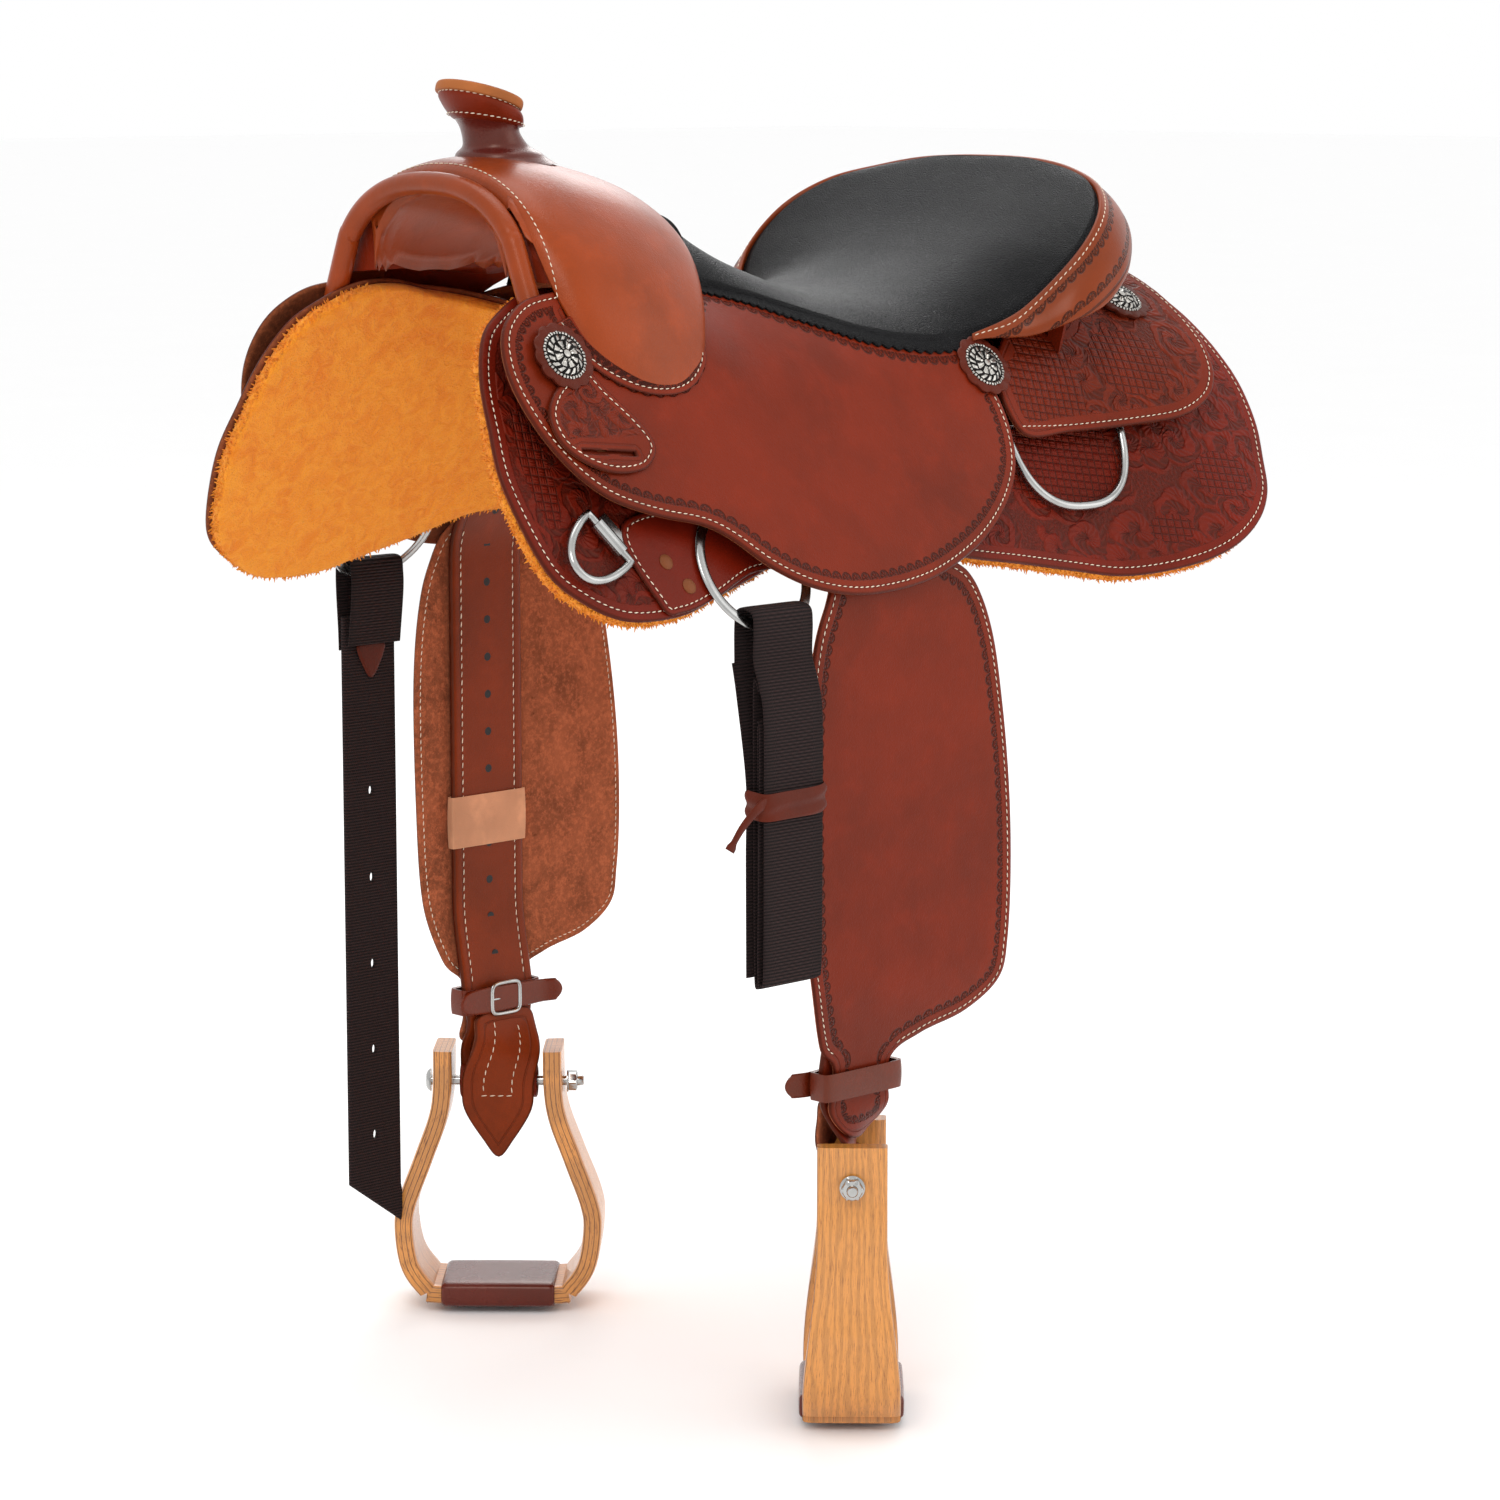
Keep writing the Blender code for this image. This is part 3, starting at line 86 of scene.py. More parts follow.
# Layers, measured out from the form: depth of the inner face and thickness
FLEECE = (0.0, 10.0)
SKIRT = (10.4, 4.5)
PLATE = (15.3, 2.5)
STRAP = (15.3, 5.0)
FENDER = (22.6, 3.7)
REAR_JOCKEY = (27.5, 4.5)
JOCKEY = (31.0, 4.5)
TAB = (35.9, 3.5)
RING_D, RING_T = 18.2, 4.0

# Hanging straps
STRAP_X, STRAP_W, BEND_V, BEND_R = -85.0, 70.0, 190.0, 60.0
TWIST, TWIST_TOP_Z, TWIST_END_Z = math.radians(45.0), -545.0, -585.0
DRIFT, DRIFT_TOP_Z = 12.0, -452.0
BOLT_Z, STIRRUP_TOP_Z, STIRRUP_BOTTOM_Z = -598.0, -570.0, -769.0

SKIRT_OUTLINE = [
    (-303, -29), (-333, -14), (-351, 2), (-365, 32), (-372, 67), (-377, 110), (-366, 168),
    (-345, 194), (-310, 212), (-262, 213), (-225, 203), (-180, 190), (-120, 172), (-45, 176),
    (25, 194), (80, 204), (132, 214), (180, 223), (232, 221), (276, 211), (312, 192),
    (336, 168), (348, 140), (358, 110), (360, 77), (356, 40), (353, 5), (350, -36), (346, -103),
    (262, -94), (225, -76), (180, -46), (130, -6), (100, 18), (60, 26), (0, 24), (-60, 8),
    (-140, -12), (-220, -22), (-270, -32),
]
JOCKEY_EDGE = [
    (-294, -20), (-322, -15), (-342, -3), (-354, 13), (-359, 36), (-356, 61), (-345, 90),
    (-328, 115), (-305, 134), (-270, 148), (-235, 157), (-213, 169), (-185, 193), (-154, 210),
    (-119, 219), (-82, 220), (-41, 215), (-4, 204), (33, 187), (65, 164), (87, 138),
    (96, 112), (97, 88), (93, 66),
]
FORK_LINE = [(-186, 14), (-196, 34), (-214, 46), (-240, 46), (-264, 36), (-282, 20), (-291, 0)]
REAR_JOCKEY_EDGE = [
    (300, -104), (312, -40), (319, 0), (322, 30), (322, 52), (314, 76), (296, 94), (268, 106),
    (230, 110), (164, 112), (112, 110),
]
REAR_JOCKEY_FRONT = (103, 60)
RIGGING_OUTLINE = [(-285, 142), (-150, 142), (-148, 182), (-190, 190), (-225, 203),
                   (-262, 212), (-280, 205)]
TAB_OUTLINE = [(-295, 40), (-322, 50), (-339, 69), (-338, 91), (-322, 107), (-299, 116),
               (-273, 115), (-258, 104), (-257, 92), (-266, 76), (-282, 56)]
TAB_SLOT = [(-322, 97), (-276, 102), (-276, 105), (-322, 100)]
FENDER_FRONT = [(-112, -150), (-127, -176), (-143, -215), (-151, -280), (-150, -380),
                (-145, -450), (-130, -500)]
FENDER_REAR = [(-28, -505), (16, -495), (48, -476), (56, -448), (59, -400), (57, -340),
               (49, -275), (36, -215), (14, -176), (-26, -150)]
FORK_ROWS = [
    (-300, 111, -301, 106, 32), (-292, 118, -294, 124, 8), (-272, 122, -283, 139, -12),
    (-243, 122, -250, 151, -32), (-205, 116, -222, 154, -36), (-165, 106, -203, 151, -32),
    (-141, 96, -187, 144, -18), (-128, 88, -173, 127, 12),
]
SEAT_ROWS = [
    (-154, None, -8, -121, 80), (-133, None, -18, -104, 67), (-101, None, -7, -77, 49),
    (-71, None, 8, -45, 35), (-40, None, 21, -15, 25), (-6, None, 33, 20, 20),
    (45, None, 41, 62, 20), (92, None, 40, 105, 29), (130, 152, 6, 145, 43),
    (165, 170, 43, 182, 63), (196, 166, 73, 212, 84), (222, 142, 94, 232, 99),
    (240, 104, 105, 245, 109), (248, 60, 112, 251, 113),
]
RIM_FIRST = 7
STIRRUP_HALF = [(50, STIRRUP_TOP_Z), (52, -614), (65, -653), (78, -688), (81, -710), (76, -741),
                (62, -762), (48, STIRRUP_BOTTOM_Z)]
# Conchos as x, v and the depth of their seat
CONCHO_PLACES = {"front": (-311, 30, 39.6), "corner": (92, 60, 36.1), "rear": (272, 8, 32.6)}

# Leather work: edge rounding and its two bands of faces, seams in from the edge, threads
FAR = 1e9
EDGE_ROUND, EDGE_BANDS = 1.9, (0.5, 1.3)
JOCKEY_SEAM, SKIRT_SEAM, SMALL_SEAM = 5.0, 6.0, 4.5
THREAD_LIFT, STITCH_TILT, HEAVY_THREAD = 0.1, 0.12, (4.6, 6.4)
WELT = (35.7, 2.6)
FORK_FLOOR, BACK_FLOOR = 36.1, 32.2     # depths that the fork and cantle's leather end at
SKIRT_MIDDLE = Vector((0, 90))
TUFTS_A_STEP, PINKS = 16, 38

# Looks: edge colour as sRGB, also the colour of the painted shade in stamps and grooves; depth of
# stamps, height of the relief in metres, pitches
BURNT_EDGE_AND_SHADE, STAMP_DEPTH, LEATHER_RELIEF = (56, 16, 9), 1.7, 0.0011
WEAVE, BOARD = 6.4, 3.75

# Fork, horn and cantle; the roll's section as shares of its width and depth
GULLET_ARCH = [(72, 42), (70, 52), (62, 72), (42, 89), (22, 97), (0, 99)]
HORN_X, HORN_BASE_Z, HORN_TOP, HORN_TILT = -240.0, 116.0, (-262.0, 160.0), math.radians(17.0)
NECK_R, CAP_R, CAP_T = 22.0, 31.0, 7.0
BINDING_R, BINDING_SET = 8.0, -7.0
FACE_SHARE, BACK_THICK = 0.46, 5.0
ROLL_SECTION = [(0.25, 0.16), (0.5, 0.2), (0.7, 0.1), (0.88, -0.1), (1.0, -0.5), (0.9, -1.0),
                (0.6, -1.0)]

# Straps, stirrups and rigging; profiles are (radius, height)
HOBBLE_END = [(-36, -9), (40, -9), (50, -7.5), (55, 0), (50, 7.5), (40, 9), (-36, 9)]
TIP_OUTLINE = [(-24, -542), (24, -542), (28, -562), (28, -598), (26, -618), (12, -642),
               (0, -656), (-12, -642), (-26, -618), (-28, -598), (-28, -562)]
STRAP_EYE = [(10.2, -29.4), (11.6, -30.0), (13.2, -29.2), (13.4, -27.0), (13.4, 27.0),
             (13.2, 29.2), (11.6, 30.0), (10.2, 29.4), (9.8, 27.0), (9.8, -27.0), (10.2, -29.4)]
BOLT_PROFILE = [(0, -57), (5.5, -56.8), (7.6, -55.6), (9, -53.6), (9, -53), (4, -53), (4, 53),
                (9, 53), (9, 54), (7.5, 54.6), (7.5, 60), (6.6, 61), (4.2, 61.2), (4.0, 64.6),
                (3.2, 66), (0, 66)]
SPACER_PROFILE = [(4.6, -28.5), (8.0, -28.8), (9.0, -27.6), (9.0, -9.0), (8.3, -8.0), (8.3, 8.0),
                  (9.0, 9.0), (9.0, 27.6), (8.0, 28.8), (4.6, 28.5)]
BOW_SQUARE, BOW_HALF, BOW_SET = 0.22, 7.4, 7.5
RING_X, RING_V, RING_R, RING_W = -188.0, 186.0, 50.0, 8.0
LATIGO_W, BILLET_W, WEB_T = 56.0, 50.0, 2.2
TIE_TAIL = [(-25, 0.5, -310), (-36, -0.5, -314), (-47, 3, -326), (-56, 6, -341)]

# Lamps: name, place, size and power
LAMPS = [("key", (-2.6, -2.2, 2.6), 1.6, 85), ("fill", (1.8, -3.0, 0.8), 2.4, 38),
         ("top", (0.2, 0.4, 2.8), 2.0, 55), ("rim", (2.2, 2.2, 1.6), 1.4, 40)]


def top_of(layer):
    """Depth of a layer's outer face."""
    return layer[0] + layer[1]


def ease(value, low, high):
    """0 before low, 1 after high, smooth between."""
    t = min(max((value - low) / (high - low), 0.0), 1.0)
    return t * t * (3 - 2 * t)


def section(x):
    """Radius, ridge height, side slope and reference arc of the form at x."""
    slope = math.pi / 2 - LEAN
    radius = FRONT_R + (MID_R - FRONT_R) * ease(x, FRONT_X, MID_FRONT_X)
    ridge = SIDE_Y * math.tan(slope) - radius / math.cos(slope) + radius
    reference = radius * slope - (radius * math.sin(slope) - SIDE_Y) / math.sin(LEAN)
    back = ease(x, MID_REAR_X, REAR_X)
    return (radius + (REAR_R - radius) * back, ridge + (REAR_RIDGE - ridge) * back,
            slope + (REAR_SLOPE - slope) * back, reference + (REAR_REFERENCE - reference) * back)


def on_side(x, v, d):
    """Point of the off side: v down the side, d out from the form."""
    radius, ridge, slope, reference = section(x)
    arc = v + reference
    turn = min(arc / radius, slope)
    run = max(arc - radius * slope, 0.0)
    return Vector((x, (radius + d) * math.sin(turn) + run * math.cos(slope),
                   ridge - radius + (radius + d) * math.cos(turn) - run * math.sin(slope)))


BEND_Y = SIDE_Y + BEND_V * math.sin(LEAN) + (STRAP[0] - BEND_R) * math.cos(LEAN)
BEND_Z = -BEND_V * math.cos(LEAN) + (STRAP[0] - BEND_R) * math.sin(LEAN)
AXIS_Y = BEND_Y + BEND_R + STRAP[1] / 2


def twist_at(z):
    """How far the hanging strap is turned at a height."""
    return -TWIST * ease(-z, -TWIST_TOP_Z, -TWIST_END_Z)


def drift_at(z):
    """How far the hanging strap leans inwards at a height."""
    return DRIFT * ease(-z, -DRIFT_TOP_Z, -TWIST_TOP_Z)


def hanging(x, t, d):
    """Point of the off strap: t down the flat side, round the bend, then straight down."""
    if t <= BEND_V:
        return Vector((x, SIDE_Y + t * math.sin(LEAN) + d * math.cos(LEAN),
                       -t * math.cos(LEAN) + d * math.sin(LEAN)))
    turned = min((t - BEND_V) / BEND_R, LEAN)
    radius = BEND_R + d - STRAP[0]
    y = BEND_Y + radius * math.cos(LEAN - turned)
    z = BEND_Z + radius * math.sin(LEAN - turned) - max(t - BEND_V - BEND_R * LEAN, 0.0)
    angle = twist_at(z)
    across, out = x - STRAP_X, y - AXIS_Y
    return Vector((STRAP_X + across * math.cos(angle) - out * math.sin(angle),
                   AXIS_Y - drift_at(z) + across * math.sin(angle) + out * math.cos(angle), z))


def hang_at(z):
    """Length down the strap at a height below its bend."""
    return BEND_V + BEND_R * LEAN + BEND_Z - z


def mirrored(point, hand):
    return Vector((point.x, point.y * hand, point.z))


def seat_on(place, x, v, d, hand):
    """Frame on a side: X towards the cantle, Z outwards."""
    point, above = place(x, v, d), place(x, v, d + 1)
    beside = place(x + 1, v, d)
    point, above, beside = (mirrored(p, hand) for p in (point, above, beside))
    out = (above - point).normalized()
    across = (beside - point - out * out.dot(beside - point)).normalized()
    made = Matrix((across, out.cross(across), out)).transposed().to_4x4()
    made.translation = point
    return made


def upright(z, hand):
    """Frame on the strap's axis: X across the strap, Y outwards, Z up."""
    angle = twist_at(z)
    across = Vector((math.cos(angle), math.sin(angle) * hand, 0))
    out = Vector((-math.sin(angle), math.cos(angle) * hand, 0))
    made = Matrix((across, out, Vector((0, 0, 1)))).transposed().to_4x4()
    made.translation = Vector((STRAP_X, (AXIS_Y - drift_at(z)) * hand, z))
    return made


def pinch(value, power):
    """A value's size to a power, with its sign."""
    return math.copysign(abs(value) ** power, value)


def squared(turn, power, other=None):
    """Cosine and sine of a share of a turn, pinched so that a circle becomes a rounded box."""
    angle = 2 * math.pi * turn
    return pinch(math.cos(angle), power), pinch(math.sin(angle), other or power)


def bisect(low, high, below, steps=40):
    """The place between low and high where below(place) stops being true."""
    for _ in range(steps):
        middle = (low + high) / 2
        if below(middle):
            low = middle
        else:
            high = middle
    return low


def catmull(a, b, c, d, t):
    """Catmull-Rom value between b and c."""
    return 0.5 * (2 * b + (c - a) * t + (2 * a - 5 * b + 4 * c - d) * t * t
                  + (3 * b - a - 3 * c + d) * t ** 3)


def reaches(points):
    """Length of a polyline up to each of its points."""
    out = [0.0]
    for a, b in zip(points, points[1:]):
        out.append(out[-1] + (b - a).length)
    return out


def spread(reach, wants):
    """For each length wanted, in rising order, its segment's number and its share of it."""
    k = 0
    for want in wants:
        while k < len(reach) - 2 and reach[k + 1] < want:
            k += 1
        yield k, (want - reach[k]) / max(reach[k + 1] - reach[k], 1e-6)


def smooth(points, spacing=3.0, closed=True):
    """Catmull-Rom curve through points, resampled at an even spacing."""
    rows = [Vector(p) for p in points]
    n = len(rows)
    dense = []
    for i in range(n if closed else n - 1):
        near = [rows[k % n] if closed else rows[min(max(k, 0), n - 1)]
                for k in range(i - 1, i + 3)]
        dense += [catmull(*near, j / 12) for j in range(12)]
    dense.append(dense[0] if closed else rows[-1])
    reach = reaches(dense)
    count = max(int(round(reach[-1] / spacing)), 4)
    wants = [reach[-1] * i / count for i in range(count if closed else count + 1)]
    return [dense[k].lerp(dense[k + 1], share) for k, share in spread(reach, wants)]


def open_run(points, spacing=3.0):
    """A smooth curve with two ends."""
    return smooth(points, spacing, closed=False)


def row_at(rows, t):
    """Catmull-Rom value between the rows of a table; t counts rows."""
    i = min(max(int(t), 0), len(rows) - 2)
    near = [rows[min(max(k, 0), len(rows) - 1)] for k in range(i - 1, i + 3)]
    return [catmull(*column, t - i) for column in zip(*near)]


def at_length(line, share, closed=False):
    """Point at a share of a polyline's length."""
    ring = line + line[:1] if closed else line
    reach = reaches(ring)
    k, part = next(spread(reach, [reach[-1] * min(max(share, 0.0), 1.0)]))
    return ring[k].lerp(ring[k + 1], part)


def between(line, k):
    """Point at a fractional index of a polyline, and its segment's number."""
    i = min(int(k), len(line) - 2)
    return line[i].lerp(line[i + 1], k - i), i


def inset(loop, by, closed=True):
    """The flat loop moved inwards, or an open run moved to its left."""
    ring = loop + loop[:1]
    area = sum(a.x * b.y - a.y * b.x for a, b in zip(ring, ring[1:]))
    sign = 1 if area > 0 or not closed else -1
    out = []
    for i, p in enumerate(loop):
        before = loop[i - 1] if closed or i else p
        after = loop[(i + 1) % len(loop)] if closed or i < len(loop) - 1 else p
        along = (after - before).normalized()
        out.append(Vector((p.x - along.y * by * sign, p.y + along.x * by * sign)))
    return out


def beside(line, by):
    """An open run moved to its left."""
    return inset(line, by, closed=False)


def along_edge(loop, points):
    """For each point its way along a closed loop and its distance from it, and the whole way."""
    ends = list(zip(loop, loop[1:] + loop[:1]))
    reach = reaches(loop + loop[:1])
    tree = kdtree.KDTree(len(loop))
    for i, p in enumerate(loop):
        tree.insert((p.x, p.y, 0), i)
    tree.balance()
    out = []
    for p in points:
        index = tree.find((p.x, p.y, 0))[1]
        best = (FAR, 0.0)
        for k in (index - 1, index):
            a, b = ends[k]
            run = b - a
            t = min(max((p - a).dot(run) / run.length_squared, 0.0), 1.0)
            gap = (p - a - run * t).length
            if gap < best[0]:
                best = (gap, reach[k % len(ends)] + run.length * t)
        out.append((best[1], best[0]))
    return out, reach[-1]


def release():
    """Clears the selection, before a primitive is added."""
    for other in list(bpy.context.selected_objects):
        other.select_set(False)


def take(thing):
    """Makes one object the only selected one, and the active one."""
    release()
    bpy.context.view_layer.objects.active = thing
    thing.select_set(True)


def edit(thing, *steps):
    """Runs steps of edit mode, each on the whole mesh."""
    take(thing)
    bpy.ops.object.mode_set(mode="EDIT")
    for step in steps:
        bpy.ops.mesh.select_all(action="SELECT")
        step()
    bpy.ops.object.mode_set(mode="OBJECT")


def linked(name, data):
    """A new object of the scene, selected."""
    thing = bpy.data.objects.new(name, data)
    bpy.context.scene.collection.objects.link(thing)
    take(thing)
    return thing


def settle(thing, name, looks, replaces=(), body="saddle", slot=None, sharp=None):
    """Names, paints and scales a finished piece from millimetres, and sets it on its body."""
    thing.name = thing.data.name = name
    thing.data.transform(Matrix.Scale(MM, 4))
    for look in looks.split():
        thing.data.materials.append(finishes()[look])
    edit(thing, lambda: bpy.ops.mesh.normals_make_consistent(inside=False))
    if sharp:
        bpy.ops.object.shade_smooth_by_angle(angle=math.radians(sharp))
    else:
        bpy.ops.object.shade_smooth()
    if replaces:
        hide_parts(*replaces)
    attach(thing, body)
    return thing


def poly_curve(name, rings, cyclic, **values):
    """A curve object of polylines, its data given some values."""
    curve = bpy.data.curves.new(name, "CURVE")
    for key, value in values.items():
        setattr(curve, key, value)
    for ring in rings:
        spline = curve.splines.new("POLY")
        spline.points.add(len(ring) - 1)
        for point, at in zip(spline.points, ring):
            point.co = (*at, *(0,) * (3 - len(at)), 1)
        spline.use_cyclic_u = cyclic
    thing = linked(name, curve)
    bpy.ops.object.convert(target="MESH")
    return thing


def cut_flat(name, loop, holes=(), grid=5.0):
    """Flat sheet with an outline and holes, cut into a grid, with its maps "flat" and "edge"."""
    sheet = poly_curve(name, [loop, *holes], True, dimensions="2D", fill_mode="BOTH")
    bpy.ops.object.mode_set(mode="EDIT")
    bpy.ops.mesh.select_mode(type="FACE")
    bpy.ops.mesh.select_all(action="SELECT")
    bpy.ops.mesh.remove_doubles(threshold=0.01)
    bpy.ops.mesh.dissolve_limited(angle_limit=0.001)
    bpy.ops.mesh.select_all(action="SELECT")
    bpy.ops.mesh.inset(thickness=EDGE_BANDS[0], depth=0.0)
    bpy.ops.mesh.select_all(action="DESELECT")
    body = bmesh.from_edit_mesh(sheet.data)
    for face in body.faces:
        face.select_set(len(face.verts) > 4)
    bmesh.update_edit_mesh(sheet.data)
    bpy.ops.mesh.inset(thickness=EDGE_BANDS[1], depth=0.0)
    for axis, normal in enumerate(((1, 0, 0), (0, 1, 0))):
        low, high = min(p[axis] for p in loop), max(p[axis] for p in loop)
        count = int((high - low) / grid)
        for i in range(1, count + 1):
            at = low + (high - low) * i / (count + 1)
            bpy.ops.mesh.select_all(action="SELECT")
            bpy.ops.mesh.bisect(plane_co=(at * normal[0], at * normal[1], 0), plane_no=normal)
    bpy.ops.object.mode_set(mode="OBJECT")
    flat = sheet.data
    points = [Vector(v.co.xy) for v in flat.vertices]
    ways, whole = along_edge([Vector(p) for p in loop], points)
    near_hole = [FAR] * len(points)
    for hole in holes:
        gaps, _ = along_edge([Vector(p) for p in hole], points)
        near_hole = [min(a, gap) for a, (_, gap) in zip(near_hole, gaps)]
    for layer in list(flat.uv_layers):
        flat.uv_layers.remove(layer)
    maps = {key: flat.uv_layers.new(name=key) for key in ("flat", "edge")}
    for face in flat.polygons:
        across = [ways[flat.loops[k].vertex_index][0] for k in face.loop_indices]
        wraps = max(across) - min(across) > whole / 2
        for k, way in zip(face.loop_indices, across):
            index = flat.loops[k].vertex_index
            maps["flat"].data[k].uv = points[index]
            maps["edge"].data[k].uv = (way + whole if wraps and way < whole / 2 else way,
                                       min(ways[index][1], near_hole[index]))
    bpy.data.objects.remove(sheet)
    return flat


FLATS = {}


def lay(name, key, outline, place, layer, hand, looks, replaces=(), holes=(), grid=5.0, **fit):
    """A sheet of leather laid on a surface, its edges rounded. Looks are outer, inner."""
    if key not in FLATS:
        FLATS[key] = cut_flat(key, outline, holes, grid)
    depth, thick = layer
    work = bmesh.new()
    work.from_mesh(FLATS[key])
    edge = work.loops.layers.uv["edge"]
    under = bmesh.ops.duplicate(work, geom=work.verts[:] + work.edges[:] + work.faces[:])["geom"]
    lower = {item for item in under if isinstance(item, bmesh.types.BMVert)}
    for item in under:
        if isinstance(item, bmesh.types.BMFace):
            item.material_index = 1
    for vert in work.verts:
        gap = min(loop[edge].uv.y for loop in vert.link_loops)
        rise = math.sqrt(max(1 - max(1 - gap / EDGE_ROUND, 0.0) ** 2, 0.0)) / 2
        share = 0.5 - rise if vert in lower else 0.5 + rise
        vert.co = mirrored(place(vert.co.x, vert.co.y, depth + thick * share), hand)
    bmesh.ops.remove_doubles(work, verts=work.verts, dist=0.001)
    mesh = bpy.data.meshes.new(name)
    work.to_mesh(mesh)
    work.free()
    return settle(linked(name, mesh), name, looks, replaces, **fit)


def skin(name, columns, rows, place, looks, replaces=(), closed=False, **fit):
    """A grid primitive shaped by place(u, v), with u and v from 0 to 1, and its map "flat"."""
    release()
    bpy.ops.mesh.primitive_grid_add(x_subdivisions=columns, y_subdivisions=rows, size=1.0,
                                    calc_uvs=True)
    thing = bpy.context.active_object
    mesh = thing.data
    mesh.transform(Matrix.Translation((0.5, 0.5, 0.0)))
    flat = mesh.uv_layers[0]
    flat.name = "flat"
    for loop in mesh.loops:
        flat.data[loop.index].uv = mesh.vertices[loop.vertex_index].co.xy
    for vert in mesh.vertices:
        vert.co = place(vert.co.x, vert.co.y)
    steps = [lambda: bpy.ops.mesh.remove_doubles(threshold=0.02)]
    if closed:
        steps.append(lambda: bpy.ops.mesh.fill_holes(sides=0))
    edit(thing, *steps)
    return settle(thing, name, looks, replaces, **fit)


def wire(name, path, radius, looks, replaces=(), cyclic=True, resolution=6, **fit):
    """A round rod along a path, its ends closed."""
    thing = poly_curve(name, [path], cyclic, dimensions="3D", bevel_depth=radius,
                       bevel_resolution=resolution, use_fill_caps=not cyclic)
    edit(thing, lambda: bpy.ops.mesh.remove_doubles(threshold=0.01))
    return settle(thing, name, looks, replaces, sharp=None if cyclic else 50, **fit)


def turned(name, profile, at, looks, replaces=(), steps=40, wave=None, **fit):
    """A profile of (radius, height) spun round a frame's Z axis; wave(angle, radius) ripples it."""
    release()
    bpy.ops.mesh.primitive_circle_add(vertices=steps, radius=1.0)
    thing = bpy.context.active_object
    ring = [v.co.copy() for v in thing.data.vertices]
    work = bmesh.new()
    loops = []
    for radius, height in profile:
        made = []
        for p in ring:
            stretch, lift = wave(math.atan2(p.y, p.x), radius) if wave else (1.0, 0.0)
            reach = max(radius, 0.01) * stretch
            made.append(work.verts.new((p.x * reach, p.y * reach, height + lift)))
        loops.append([work.edges.new((made[i - 1], made[i])) for i in range(steps)])
    for a, b in zip(loops, loops[1:]):
        bmesh.ops.bridge_loops(work, edges=a + b)
    bmesh.ops.remove_doubles(work, verts=work.verts, dist=0.001)
    bmesh.ops.holes_fill(work, edges=[e for e in work.edges if e.is_boundary], sides=steps)
    flat = work.loops.layers.uv.new("flat")
    for face in work.faces:
        for corner in face.loops:
            corner[flat].uv = corner.vert.co.xy
    work.transform(at)
    work.to_mesh(thing.data)
    work.free()
    return settle(thing, name, looks, replaces, sharp=40, **fit)


def stitches(name, path, length=3.7, pitch=5.2, thick=0.46, **fit):
    """Thread stitches along a path of (point, outward)."""
    reach = reaches([point for point, _ in path])
    count = int(reach[-1] / pitch)
    places = []
    for k, share in spread(reach, [(i + 0.5) * reach[-1] / count for i in range(count)]):
        out = path[k][1].lerp(path[k + 1][1], share).normalized()
        forth = (path[k + 1][0] - path[k][0]).normalized()
        forth = (forth + out.cross(forth).normalized() * STITCH_TILT).normalized()
        across = out.cross(forth).normalized()
        turn = Matrix((forth * length / 2, across * thick, out * thick)).transposed().to_4x4()
        turn.translation = path[k][0].lerp(path[k + 1][0], share)
        places.append(turn @ Matrix.Rotation(math.pi / 2, 4, "Y"))
    release()
    bpy.ops.mesh.primitive_uv_sphere_add(segments=6, ring_count=4, radius=1.0)
    return settle(repeated(bpy.context.active_object, places), name, "thread", **fit)


def repeated(thing, places):
    """One modelled piece copied to many places, in one mesh."""
    source = thing.data
    verts = [place @ vert.co for place in places for vert in source.vertices]
    count = len(source.vertices)
    faces = [[i + k * count for i in face.vertices] for k in range(len(places))
             for face in source.polygons]
    mesh = bpy.data.meshes.new(thing.name)
    mesh.from_pydata(verts, [], faces)
    thing.data = mesh
    bpy.data.meshes.remove(source)
    return thing


def raised(flat_path, place, depth, hand):
    """Flat points as (point, outward) pairs on a surface."""
    out = []
    for p in flat_path:
        point = mirrored(place(p.x, p.y, depth), hand)
        above = mirrored(place(p.x, p.y, depth + 1), hand)
        out.append((point, (above - point).normalized()))
    return out


def sew(name, line, place, depth, hand, *sizes, **fit):
    """Stitches along a flat line that is laid on a surface."""
    stitches(name, raised(line, place, depth, hand), *sizes, **fit)


def plug(tree, value, slot):
    """Feeds a socket from a field or another socket, or sets it to a plain value."""
    source = value.socket if isinstance(value, Field) else value
    if isinstance(source, bpy.types.NodeSocket):
        tree.links.new(source, slot)
    else:
        slot.default_value = source


class Field:
    """A number that a material's nodes work out, so that a pattern can be written as a sum."""

    def __init__(self, tree, socket):
        self.tree, self.socket = tree, socket

    def op(self, operation, *others):
        node = self.tree.nodes.new("ShaderNodeMath")
        node.operation = operation
        for slot, value in zip(node.inputs, (self, *others)):
            plug(self.tree, value, slot)
        return Field(self.tree, node.outputs[0])

    def __add__(self, other):
        return self.op("ADD", other)

    def __sub__(self, other):
        return self.op("SUBTRACT", other)

    def __mul__(self, other):
        return self.op("MULTIPLY", other)

    def __truediv__(self, other):
        return self.op("DIVIDE", other)

    __radd__ = __add__
    __rmul__ = __mul__

    def __rsub__(self, other):
        return self * -1.0 + other

    def part(self):
        return self.op("FRACT")

    def whole(self):
        return self.op("FLOOR")

    def size(self):
        return self.op("ABSOLUTE")

    def sine(self):
        return self.op("SINE")

    def wave(self):
        """The sine, from 0 to 1."""
        return self.sine() * 0.5 + 0.5

    def power(self, value):
        return self.op("POWER", value)

    def step(self, low, high):
        """0 below low and 1 above high, smooth between."""
        node = self.tree.nodes.new("ShaderNodeMapRange")
        node.interpolation_type = "SMOOTHSTEP"
        node.inputs["From Min"].default_value = low
        node.inputs["From Max"].default_value = high
        self.tree.links.new(self.socket, node.inputs["Value"])
        return Field(self.tree, node.outputs["Result"])


